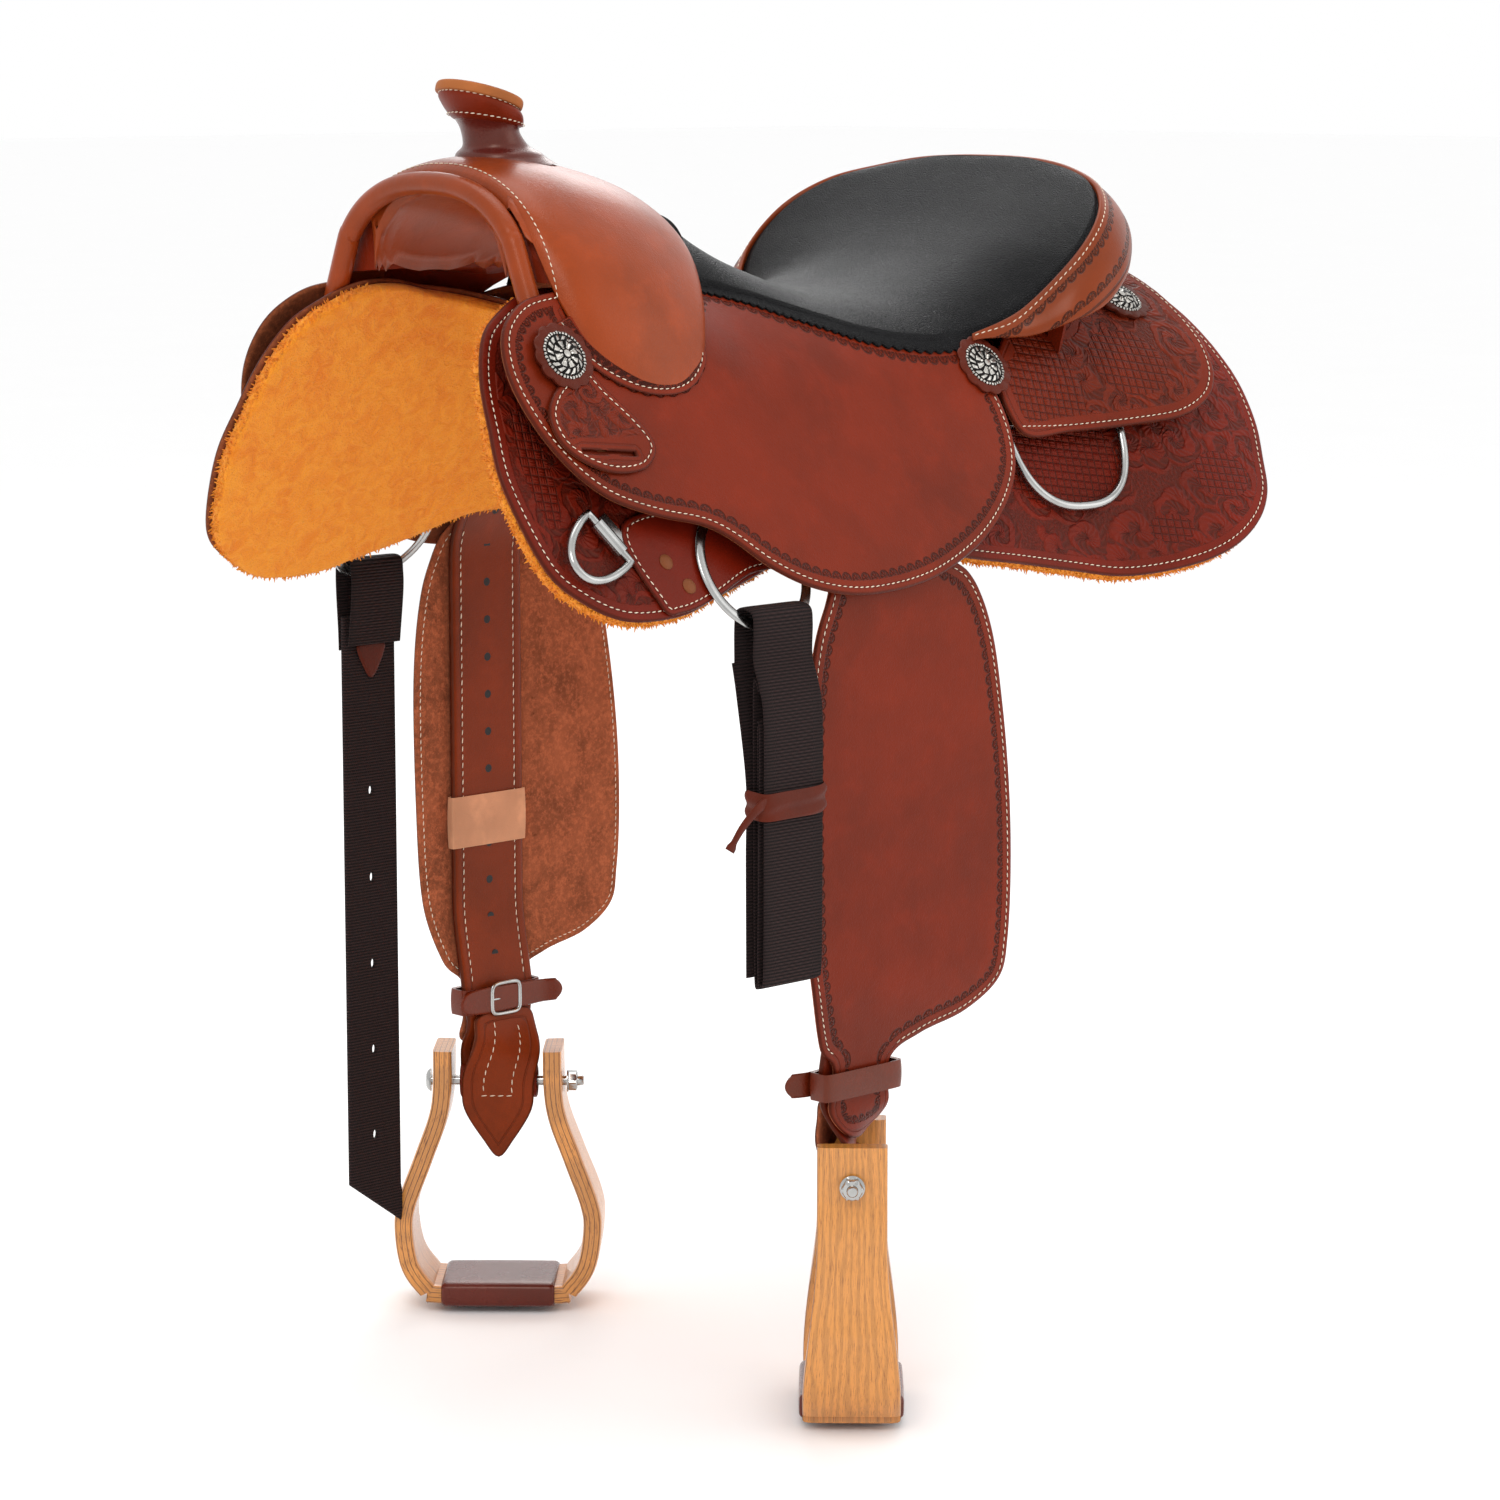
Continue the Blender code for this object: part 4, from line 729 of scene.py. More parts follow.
class Look:
    """A material being made: its places, noises, colour, roughness and height."""

    def __init__(self, name):
        self.material = bpy.data.materials.new(name)
        self.material.use_nodes = True
        self.tree = self.material.node_tree
        self.shader = self.tree.nodes["Principled BSDF"]
        self.spot = self.tree.nodes.new("ShaderNodeTexCoord").outputs["Object"]

    def split(self, socket):
        """The three numbers of a vector socket."""
        parts = self.tree.nodes.new("ShaderNodeSeparateXYZ")
        self.tree.links.new(socket, parts.inputs[0])
        return [Field(self.tree, s) for s in parts.outputs]

    def map(self, name):
        """The two coordinates of a UV map, in the units it was made in."""
        node = self.tree.nodes.new("ShaderNodeUVMap")
        node.uv_map = name
        return self.split(node.outputs[0])[:2]

    def joined(self, x, y, z=0.0):
        node = self.tree.nodes.new("ShaderNodeCombineXYZ")
        for slot, value in zip(node.inputs, (x, y, z)):
            plug(self.tree, value, slot)
        return node.outputs[0]

    def texture(self, kind, at, **values):
        """A texture node at a place, with values for its sockets."""
        node = self.tree.nodes.new(kind)
        for key, value in values.items():
            node.inputs[key].default_value = value
        self.tree.links.new(at or self.spot, node.inputs["Vector"])
        return node

    def noise(self, scale, detail=3.0, rough=0.6, at=None, twist=0.0):
        node = self.texture("ShaderNodeTexNoise", at, Scale=scale, Detail=detail,
                            Roughness=rough, Distortion=twist)
        return Field(self.tree, node.outputs[0])

    def cells(self, scale, at=None, feature="F1", jitter=1.0):
        """Distance to scattered points, and the place of the nearest one."""
        node = self.texture("ShaderNodeTexVoronoi", at, Scale=scale, Randomness=jitter)
        node.feature = feature
        return Field(self.tree, node.outputs["Distance"]), node.outputs.get("Position")

    def mix(self, share, first, second):
        """A colour between two; a colour is three sRGB numbers or a socket."""
        node = self.tree.nodes.new("ShaderNodeMix")
        node.data_type = "RGBA"
        plug(self.tree, share, node.inputs[0])
        for slot, colour in ((node.inputs[6], first), (node.inputs[7], second)):
            is_socket = isinstance(colour, bpy.types.NodeSocket)
            plug(self.tree, colour if is_socket else (*linear(colour), 1.0), slot)
        return node.outputs[2]

    def clouded(self, colour):
        """A colour that lies darker in cloudy patches."""
        return self.mix(self.noise(9.0, 4.0, 0.6).step(0.3, 0.7), colour, shade(colour, 0.84))

    def done(self, colour, rough, height=None, deep=0.001, **values):
        tree, shader = self.tree, self.shader
        tree.links.new(colour, shader.inputs["Base Color"])
        plug(tree, rough, shader.inputs["Roughness"])
        if height is not None:
            bump = tree.nodes.new("ShaderNodeBump")
            bump.inputs["Distance"].default_value = deep
            bump.inputs["Strength"].default_value = 1.0
            tree.links.new(height.socket, bump.inputs["Height"])
            tree.links.new(bump.outputs[0], shader.inputs["Normal"])
        for key, value in values.items():
            shader.inputs[key.replace("_", " ")].default_value = value
        return self.material


def linear(colour):
    """An sRGB colour of 0 to 255 in linear light."""
    return tuple((c / 255 / 12.92) if c < 10 else ((c / 255 + 0.055) / 1.055) ** 2.4
                 for c in colour)


def shade(colour, *by):
    """A colour made darker or paler, by one factor or by one for each channel."""
    return [min(c * k, 255) for c, k in zip(colour, by if len(by) == 3 else by * 3)]


def basket(x, v, size):
    """Woven strands in rows along the edge, raised where they pass over."""
    a, b = (x + v * 0.18) * (1.0 / size), (v - x * 0.18) * (1.0 / size)
    odd = ((a.whole() + b.whole()) * 0.5).part() * 2.0
    fa, fb = a.part() - 0.5, b.part() - 0.5
    run, across = fa + (fb - fa) * odd, fb + (fa - fb) * odd
    hump = 1.0 - (run * 2.0).size().power(2.4)
    sides = 1.0 - (across * 2.0).size().power(7.0)
    ribs = (across * (2 * math.pi * 3.0)).sine() * 0.16
    return (hump * sides) * (ribs + 0.84)


def shells(way, gap, centre, size):
    """Half-round fan stamps in a row along the edge; 1 in their grooves."""
    u = ((way / size).part() - 0.5) * 2.0
    w = (gap - centre) * (2.0 / size)
    r = (u * u + w * w).op("SQRT")
    fan = (u.op("ARCTAN2", w) * 6.0).wave()
    ring = (1.0 - r.step(0.88, 0.98)) * r.step(0.55, 0.8)
    disc = (1.0 - r.step(0.72, 0.8)) * fan
    return (disc * 0.7 + ring) * w.step(-0.35, -0.15)


def scrolls(look, x, v, size):
    """Generic scrolling leaves: spirals round scattered centres, on a stippled ground."""
    warp = look.noise(0.05, 2.0, 0.5, look.joined(x, v))
    bent_x, bent_v = x + warp * 14.0, v + warp * 10.0
    gap, centre = look.cells(1.0 / size, look.joined(bent_x, bent_v), jitter=0.75)
    middle = look.split(centre)
    angle = (bent_v - middle[1]).op("ARCTAN2", bent_x - middle[0])
    spiral = (angle + gap * 17.0).wave().step(0.2, 0.6)
    veins = (angle * 13.0 + gap * 30.0).wave()
    leaf = 1.0 - gap.step(0.66, 0.78)
    ground = look.cells(0.55, look.joined(x, v))[0]
    return leaf * (spiral * 0.75 + veins * 0.25) + (1.0 - leaf) * (ground * 0.35)


def oval(x, v, centre, wide, high):
    """1 inside an oval, 0 outside it."""
    a = (x - centre[0]) * (1.0 / wide)
    b = (v - centre[1]) * (1.0 / high)
    return 1.0 - (a * a + b * b).step(0.92, 1.0)


def leather(name, colour, dark, rough=0.42, maps=True, groove=None, stamps=None, tooling=None,
            shine=0.06, burnt=2.0):
    """Oiled leather: mottled, with a fine grain, burnished edges and, where told, tooling; its
    grooves and stamps carry painted shade.

    groove is the distance of the stitch line from the edge, stamps are (distance, size) of a
    border of shells, and tooling(look, x, v, gap) gives a height and where it is.
    """
    look = Look(name)
    tone = look.clouded(colour)
    tone = look.mix(look.noise(42.0, 3.0, 0.65).step(0.45, 0.8) * 0.35, tone,
                    shade(colour, 1.16))
    pores = look.cells(900.0)[0]
    height = pores * 0.10 + look.noise(420.0, 4.0, 0.7) * 0.16 + look.noise(60.0, 2.0) * 0.25
    # Painted shade: the stitch groove, the stamps and the tooled ground are darkened towards the
    # dark colour, as shade in their hollows
    pressed_shade = []
    if maps:
        (x, v), (way, gap) = look.map("flat"), look.map("edge")
        tone = look.mix((1.0 - gap.step(burnt * 0.3, burnt)) * 0.7, tone, dark)
        if groove:
            line = 1.0 - (gap - groove).size().step(0.3, 1.0)
            height = height - line * 0.6
            pressed_shade.append(line * 0.3)
        if stamps:
            cut = shells(way, gap, *stamps)
            height = height - cut * STAMP_DEPTH
            pressed_shade.append(cut * 1.2)
        if tooling:
            relief, where = tooling(look, x, v, gap)
            height = height + relief * where * STAMP_DEPTH - where * 0.7
            pressed_shade.append(where * (1.0 - relief.step(0.05, 0.5)))
    # Painted shade in the pressed hollows
    if pressed_shade:
        tone = look.mix(sum(pressed_shade[1:], pressed_shade[0]).op("MINIMUM", 1.0) * 0.7, tone, dark)
    gloss = look.noise(30.0, 3.0) * 0.16 + (rough - 0.08)
    return look.done(tone, gloss, height, LEATHER_RELIEF, Coat_Weight=shine,
                     Coat_Roughness=0.25, Specular_IOR_Level=0.12 + shine * 0.9,
                     Specular_Tint=(1.0, 0.6, 0.42, 1.0))


def roll_leather(colour):
    """The cantle roll's leather: two rows of shell stamps with a smooth band between them.

    Its map "flat" holds the way round the rim and the way across the roll, in millimetres.
    """
    look = Look("roll")
    way, over = look.map("flat")
    tone = look.clouded(colour)
    cut = shells(way, over, 11.5, 10.4).op("MAXIMUM", shells(way, 52.0 - over, 14.0, 10.4))
    bead = 1.0 - (over - 46.0).size().step(0.5, 1.6)
    grain = look.noise(420.0, 4.0, 0.7) * 0.16 + look.noise(60.0, 2.0) * 0.25
    # Painted shade: the stamps and the bead's groove are darkened towards the burnt edge colour
    tone = look.mix((cut * 1.2 + bead).op("MINIMUM", 1.0) * 0.75, tone, BURNT_EDGE_AND_SHADE)
    return look.done(tone, look.noise(30.0, 3.0) * 0.16 + 0.28,
                     grain - cut * STAMP_DEPTH - bead * 0.7, LEATHER_RELIEF, Coat_Weight=0.12,
                     Coat_Roughness=0.25, Specular_IOR_Level=0.26,
                     Specular_Tint=(1.0, 0.72, 0.55, 1.0))


def suede(name, colour):
    """Flesh side of the leather: short nap in cloudy patches."""
    look = Look(name)
    cloud, nap = look.noise(22.0, 5.0, 0.7, twist=0.6), look.noise(260.0, 4.0, 0.75)
    stain = look.noise(48.0, 4.0, 0.7)
    tone = look.mix(cloud.step(0.3, 0.72), colour, shade(colour, 0.72))
    tone = look.mix(nap.step(0.42, 0.7) * 0.5, tone, shade(colour, 1.3))
    tone = look.mix(stain.step(0.62, 0.72) * 0.55, tone, shade(colour, 0.45))
    return look.done(tone, 0.93, nap + look.noise(900.0, 2.0) * 0.6, 0.0006,
                     Specular_IOR_Level=0.08)


def shearling(name, colour):
    """Dense short pile, brushed in patches."""
    look = Look(name)
    swirl = look.noise(14.0, 4.0, 0.65, twist=1.2)
    tuft, fibre = look.noise(95.0, 4.0, 0.7, twist=0.8), look.noise(640.0, 3.0, 0.75)
    tone = look.mix(swirl.step(0.38, 0.75), colour, shade(colour, 0.97, 0.88, 0.74))
    tone = look.mix(tuft.step(0.35, 0.65) * 0.55, tone, shade(colour, 1.06, 1.16, 1.5))
    tone = look.mix(fibre.step(0.55, 0.75) * 0.3, tone, shade(colour, 0.62))
    return look.done(tone, 0.98, tuft + fibre * 0.7 + swirl * 0.6, 0.0024, Sheen_Weight=0.12,
                     Sheen_Roughness=0.6, Specular_IOR_Level=0.05)


def webbing(name, colour, rib_pitch=2.3, yarn_pitch=1.8):
    """Woven nylon strap: ribs with painted shade between them, and fine yarns with painted
    highlight.
    """
    look = Look(name)
    u, w = look.map("flat")
    rib = (w * (2 * math.pi / rib_pitch)).wave()
    yarn = ((u + (w / rib_pitch).whole() * 0.9) * (2 * math.pi / yarn_pitch)).wave()
    fuzz = look.noise(500.0, 3.0)
    # Painted shade: darker between the ribs; painted highlight: paler yarns along the rib tops
    tone = look.mix(rib.step(0.1, 0.7), shade(colour, 0.45), colour)
    tone = look.mix(yarn * 0.28 * rib, tone, shade(colour, 1.7))
    return look.done(tone, 0.7 + fuzz * 0.15, rib + yarn * 0.35 + fuzz * 0.3, 0.0009,
                     Specular_IOR_Level=0.16)


def steel(name, colour):
    """Plated steel, with its scratches and dull patches in the roughness."""
    look = Look(name)
    x, y, z = look.split(look.spot)
    scratch = look.noise(700.0, 2.0, 0.5, look.joined(x, y, z * 0.08))
    cloud, fine = look.noise(45.0, 4.0, 0.6), look.noise(1500.0, 2.0)
    tone = look.mix(cloud.step(0.4, 0.75) * 0.45, colour, shade(colour, 0.7))
    return look.done(tone, scratch * 0.14 + cloud * 0.1 + 0.1, scratch * 0.08 + fine * 0.05,
                     0.0002, Metallic=1.0)


def antique(name, colour, dark):
    """Cast silver with petals, leaves and beads round its middle, and tarnish between them."""
    look = Look(name)
    x, y = look.map("flat")
    r, angle = (x * x + y * y).op("SQRT"), y.op("ARCTAN2", x)
    petals = (angle * 8.0).wave().step(0.1, 0.6) * (1.0 - r.step(9.2, 10.2))
    leaves = (angle * 16.0 + r * 0.9).wave().step(0.2, 0.7)
    beads = (angle * 40.0).wave().step(0.1, 0.5)
    middle = 1.0 - r.step(2.4, 3.0)
    form = petals * r.step(3.4, 4.2) + leaves * r.step(10.6, 11.2) * (1.0 - r.step(14.0, 14.8))
    form = (form + beads * r.step(15.2, 15.8) + middle).op("MINIMUM", 1.0)
    worn = look.noise(600.0, 3.0)
    tone = look.mix((form - worn * 0.3).step(0.1, 0.5), dark, colour)
    return look.done(tone, 0.22 + worn * 0.2, form, 0.0007, Metallic=1.0)


def oak(name, colour, dark):
    """Varnished wood laminated from thin boards; its grain runs along the map's first axis."""
    look = Look(name)
    (along, across), (layer, face) = look.map("flat"), look.map("edge")
    warp = look.noise(0.02, 3.0, 0.6, look.joined(along * 0.5, across * 3.0))
    rings = ((across * 0.42 + warp * 7.0) * 2.6).wave()
    pores = look.noise(1.0, 3.0, 0.7, look.joined(along * 0.09, across * 2.6, layer))
    seams = 1.0 - ((layer / BOARD).part() - 0.5).size().step(0.03, 0.09)
    return wooden(look, rings, pores, seams * (1.0 - face), colour, dark, 0.5)


def timber(name, colour, dark):
    """Bare wood of the hidden seat."""
    look = Look(name)
    x, y, z = look.split(look.spot)
    rings = (look.noise(30.0, 3.0, 0.6, look.joined(x * 0.3, y, z)) * 40.0).wave()
    pores = look.noise(300.0, 3.0, 0.7)
    return wooden(look, rings, pores, pores * 0.0, colour, dark, 0.0)


def wooden(look, rings, pores, seams, colour, dark, varnish):
    """Wood's colour and relief from its rings, pores and seams."""
    tone = look.mix(rings.step(0.2, 0.9) * 0.45, colour, shade(colour, 0.74))
    tone = look.mix(pores.step(0.53, 0.66) * 0.8, tone, dark)
    tone = look.mix(seams * 0.85, tone, shade(dark, 0.5))
    return look.done(tone, 0.3 + pores * 0.18, 0.0 - pores * 0.4 - seams * 0.5, 0.0004,
                     Coat_Weight=varnish, Coat_Roughness=0.12)


def cotton(name, colour):
    """Waxed sewing thread."""
    look = Look(name)
    ply = look.noise(1400.0, 3.0)
    tone = look.mix(look.noise(120.0, 2.0).step(0.4, 0.7), colour, shade(colour, 0.86))
    return look.done(look.mix(ply.step(0.5, 0.8) * 0.4, tone, shade(colour, 0.6)), 0.65,
                     ply, 0.0003)


def pebbled(name, colour):
    """Soft black seat leather: rounded pebbles with creases between them."""
    look = Look(name)
    pebble = look.cells(900.0, feature="SMOOTH_F1")[0]
    crease = look.cells(560.0, feature="DISTANCE_TO_EDGE")[0]
    wear = look.noise(16.0, 4.0, 0.6)
    tone = look.mix(wear.step(0.4, 0.75) * 0.5, colour, shade(colour, 1.6))
    height = crease.step(0.0, 0.22) - pebble * 0.35 + look.noise(55.0, 3.0) * 0.3
    return look.done(tone, 0.34 + wear * 0.14, height, 0.0007, Specular_IOR_Level=0.13)


def skirt_tooling(look, x, v, gap):
    """Scrolls with oval panels of basket weave, inside the stitched border."""
    weave, leaf = basket(x, v, WEAVE), scrolls(look, x, v, 30.0)
    woven = oval(x, v, (150, 125), 62, 40)
    for spot in (((296, 150), 26, 20), ((232, 190), 20, 12), ((-345, 100), 12, 44)):
        woven = woven.op("MAXIMUM", oval(x, v, *spot))
    return leaf + (weave - leaf) * woven, gap.step(11.0, 12.5)


def rear_tooling(look, x, v, gap):
    """Basket weave in front and scrolls behind, inside the stitched border."""
    weave, leaf = basket(x, v, WEAVE), scrolls(look, x, v, 26.0)
    woven = (1.0 - x.step(178.0, 188.0)).op("MAXIMUM", oval(x, v, (238, 62), 34, 26))
    return leaf + (weave - leaf) * woven, gap.step(11.0, 12.5)


def tab_tooling(look, x, v, gap):
    """Scrolls above the tab's slot."""
    return scrolls(look, x, v, 20.0), gap.step(7.5, 9.0) * (1.0 - v.step(88.0, 92.0))


FINISHES = {}


def finishes():
    """Every finish of the saddle by name, made at the first call."""
    if FINISHES:
        return FINISHES
    rich = bpy.context.scene.saddle_colours
    brown, light, red = ([round(c * 255) for c in value] for value in
                         (rich.leather, rich.cover, rich.skirting))
    shell_border = {"groove": JOCKEY_SEAM, "stamps": (11.5, 9.8)}
    FINISHES.update({
        "jockey": leather("jockey", brown, BURNT_EDGE_AND_SHADE, **shell_border),
        "fender": leather("fender", brown, BURNT_EDGE_AND_SHADE, **shell_border),
        "strap": leather("strap", (120, 44, 14), (60, 22, 10), 0.36, groove=8.0),
        "plain": leather("plain", brown, BURNT_EDGE_AND_SHADE),
        "loose": leather("loose", brown, BURNT_EDGE_AND_SHADE, maps=False),
        "dark": leather("dark", (86, 28, 16), (46, 20, 16), maps=False),
        "tab": leather("tab", brown, BURNT_EDGE_AND_SHADE, groove=SMALL_SEAM, tooling=tab_tooling),
        "skirting": leather("skirting", red, BURNT_EDGE_AND_SHADE, 0.45, groove=SKIRT_SEAM,
                            tooling=skirt_tooling),
        "rear": leather("rear", brown, BURNT_EDGE_AND_SHADE, 0.44, groove=JOCKEY_SEAM, tooling=rear_tooling),
        "plate": leather("plate", red, BURNT_EDGE_AND_SHADE, 0.34, groove=4.0),
        "cover": leather("cover", light, (70, 30, 18), 0.3, maps=False, shine=0.16),
        "wrap": leather("wrap", (88, 24, 18), (40, 16, 14), 0.26, maps=False, shine=0.3),
        "harness": leather("harness", (98, 30, 11), BURNT_EDGE_AND_SHADE, 0.26, maps=False, shine=0.25),
        "tan": leather("tan", (166, 98, 54), (110, 60, 34), 0.55, maps=False, shine=0.0),
        "natural": leather("natural", (213, 154, 118), (150, 100, 66), 0.55, maps=False,
                           shine=0.0),
        "rivet": leather("rivet", (128, 72, 42), (70, 36, 20), maps=False),
        "suede": suede("suede", (156, 87, 58)),
        "flesh": suede("flesh", (124, 66, 40)),
        "fleece": shearling("fleece", (244, 146, 34)),
        "seat": pebbled("seat", (11, 11, 13)),
        "nylon": webbing("nylon", (44, 30, 29)),
        "steel": steel("steel", (176, 176, 174)),
        "silver": antique("silver", (190, 187, 180), (30, 28, 27)),
        "black": cotton("black", (20, 17, 17)),
        "oak": oak("oak", (212, 140, 62), (112, 58, 20)),
        "timber": timber("timber", (176, 138, 96), (110, 78, 50)),
        "thread": cotton("thread", (232, 214, 190)),
        "roll": roll_leather(shade(light, 0.9)),
        "welt_band": leather("welt_band", [c * 255 for c in rich.leather], (62, 26, 20),
                             stamps=(4.6, 6.4), burnt=1.2),
    })
    return FINISHES


def depth_of(point):
    """How far a point is out from the form."""
    radius, ridge, slope, _ = section(point.x)
    y, z = abs(point.y), point.z - ridge + radius
    if math.atan2(y, z) < slope:
        return math.hypot(y, z) - radius
    return y * math.sin(slope) + z * math.cos(slope) - radius


def v_at(x, y, d):
    """Place down the side where the layer at d has that half width."""
    return bisect(-section(x)[3], 320.0, lambda v: on_side(x, v, d).y < y)


def seat_edge(row):
    """Top of the seat's off edge for one row."""
    if row[1] is None:
        return on_side(row[0], row[2], TAB[0] + 4.0)
    return Vector(row[:3])


EDGES = [tuple(seat_edge(row)) for row in SEAT_ROWS]
CENTRES = [row[3:] for row in SEAT_ROWS]
SEAT_SIDES = [(row[0], row[2]) for row in SEAT_ROWS if row[1] is None]
RIM_POINTS = [*EDGES[RIM_FIRST:], (CENTRES[-1][0] + 1.0, 0.0, CENTRES[-1][1] + 1.0)]


def rim(t):
    """Point on the seat's rim and its outward direction; t from -1 near to 1 off."""
    whole = RIM_POINTS + [(x, -y, z) for x, y, z in reversed(RIM_POINTS[:-1])]
    place = (1 - abs(t)) * (len(RIM_POINTS) - 1)
    point = Vector(row_at(whole, place))
    tangent = Vector(row_at(whole, place + 0.02)) - point
    out = Vector((-tangent.y, tangent.x, 0)).normalized()
    if out.dot(Vector((point.x - 60, point.y, 0))) < 0:
        out = -out
    if t < 0:
        point.y, out.y = -point.y, -out.y
    return point, out


def roll_ring(t):
    """Section of the cantle roll, from its inner lip over the top and back below."""
    point, out = rim(t)
    slope = math.radians(17.0 + 40.0 * ease(abs(t), 0.05, 0.55))
    deep = 2.5 + 9.5 * ease(1 - abs(t), 0.02, 0.30)
    wide = 5.0 + 45.0 * ease(1 - abs(t), 0.0, 0.36)
    along = out * math.cos(slope) - Vector((0, 0, math.sin(slope)))
    up = out * math.sin(slope) + Vector((0, 0, math.cos(slope)))
    lip = point + out * 1.2
    ring = [lip + along * wide * a + up * deep * b for a, b in ROLL_SECTION]
    ring = [lip + Vector((0, 0, 0.5)), *ring, lip - Vector((0, 0, deep))]
    return smooth(ring, 2.0), wide


def arch_point(row, fullness, angle):
    """Point of the fork's arch over one row, from the near foot at 0 to the off foot at pi."""
    top_x, top_z, foot_x, half, foot_z = row
    across, lift = -math.cos(angle), math.sin(angle) ** (2 / fullness)
    y = half * math.copysign(abs(across) ** (2 / fullness), across)
    return Vector((top_x + (foot_x - top_x) * (1 - lift), y,
                   foot_z - 14.0 + (top_z - foot_z + 14.0) * lift))


def from_axis(point):
    """Direction out from the fork's middle line."""
    return (point - Vector((point.x, 0, 20))).normalized()


def fork_arch(t, lift=0.0):
    """Outer line of the fork cover at row t, standing on the jockeys."""
    row = row_at(FORK_ROWS, t)
    fullness = 2.3 - 0.6 * t / (len(FORK_ROWS) - 1)
    foot = bisect(0.0, 0.5, lambda a: depth_of(arch_point(row, fullness, a)) < FORK_FLOOR, 30)
    line = [arch_point(row, fullness, foot + (math.pi - 2 * foot) * i / 48) for i in range(49)]
    return [p + from_axis(p) * lift for p in line]


def horn_point(height, angle, radius, rise=0.0):
    """Point round the horn's leaning centre line; height 0 is its base and 1 the cap."""
    tilt = HORN_TILT * ease(height, 0.2, 1.0)
    along = radius * math.cos(angle)
    return Vector((HORN_X + (HORN_TOP[0] - HORN_X) * height + along * math.cos(tilt)
                   + rise * math.sin(tilt), radius * math.sin(angle),
                   HORN_BASE_Z + (HORN_TOP[1] - HORN_BASE_Z) * height - along * math.sin(tilt)
                   + rise * math.cos(tilt)))


def add_skirts():
    """Skirts over their fleece, and the rigging plates with their rivets."""
    outline, plate = smooth(SKIRT_OUTLINE), smooth(RIGGING_OUTLINE)
    pile = [p + (SKIRT_MIDDLE - p).normalized() * 2.0 for p in smooth(SKIRT_OUTLINE, 4.0)]
    stitch = inset(outline, SKIRT_SEAM)
    run = [p for p in stitch if not (-300 < p.x < 340 and p.y < 60)]
    start = max(range(len(stitch)), key=lambda i: (stitch[i] - stitch[i - 1]).length
                if stitch[i] in run and stitch[i - 1] not in run else -1)
    run = [p for p in stitch[start:] + stitch[:start] if p in run]
    for hand, side in HANDS.items():
        lay(side + "skirt_leather", "skirt", outline, on_side, SKIRT, hand, "skirting flesh",
            [side + "skirt"], slot="skirting")
        lay(side + "shearling", "fleece", pile, on_side, FLEECE, hand, "fleece fleece",
            [side + "fleece"], grid=7.0, slot="fleece")
        tufts(side + "shearling_fringe", pile, hand)
        sew(side + "skirt_thread", run, on_side, top_of(SKIRT) + THREAD_LIFT, hand)
        lay(side + "rigging_leather", "plate", plate, on_side, PLATE, hand, "plate flesh",
            [side + "rigging_plate"], slot="skirting")
        sew(side + "rigging_thread", inset(plate, SMALL_SEAM), on_side,
            top_of(PLATE) + THREAD_LIFT, hand)
        for i, (x, v) in enumerate(((-263, 175), (-250, 194))):
            turned(side + "rivet_%d" % i, [(5.5, 0), (5.5, 0.8), (4.4, 1.7), (2, 2.2), (0, 2.3)],
                   seat_on(on_side, x, v, top_of(PLATE) - 0.3, hand), "rivet", steps=20)


def tufts(name, loop, hand):
    """Wool standing out past the leather's edge, as short tapered locks."""
    rng = random.Random(7)
    places = []
    for i, p in enumerate(loop):
        ahead = loop[(i + 1) % len(loop)]
        if p.y < 40 and -290 < p.x < 335:
            continue
        outward = p - beside([loop[i - 1], p, ahead], 1.0)[1]
        if outward.dot(p - SKIRT_MIDDLE) < 0:
            outward = -outward
        for _ in range(TUFTS_A_STEP):
            spot = p.lerp(ahead, rng.random())
            spot = spot - outward * rng.uniform(0.5, 3.0)
            d = rng.uniform(0.8, FLEECE[1] - 0.6)
            tip = spot + outward * rng.uniform(1.4, 3.0) + Vector((rng.uniform(-1.5, 1.5),
                                                                 rng.uniform(-1.5, 1.5)))
            tip_d = min(max(d + rng.uniform(-2.5, 2.5), 0.4), 9.6)
            a = mirrored(on_side(spot.x, spot.y, d), hand)
            run = mirrored(on_side(tip.x, tip.y, tip_d), hand) - a
            turn = run.to_track_quat("Z", "Y").to_matrix().to_4x4()
            places.append(Matrix.Translation(a + run / 2) @ turn
                          @ Matrix.Diagonal((1, 1, run.length, 1)))
    release()
    bpy.ops.mesh.primitive_cone_add(vertices=4, radius1=0.9, radius2=0.2, depth=1.0,
                                    end_fill_type="NOTHING")
    settle(repeated(bpy.context.active_object, places), name, "fleece")


def rear_jockey_loop():
    """Outline of the rear jockey; its upper edge runs below the cantle roll."""
    line = []
    for i in range(9):
        t = 0.80 - 0.76 * i / 8
        point, out = rim(t)
        point = point - out * (21.0 + 45.0 * ease(t, 0.35, 0.7))
        line.append(Vector((point.x, v_at(point.x, point.y, REAR_JOCKEY[0]))))
    return open_run(REAR_JOCKEY_EDGE + [REAR_JOCKEY_FRONT]) + open_run(line)


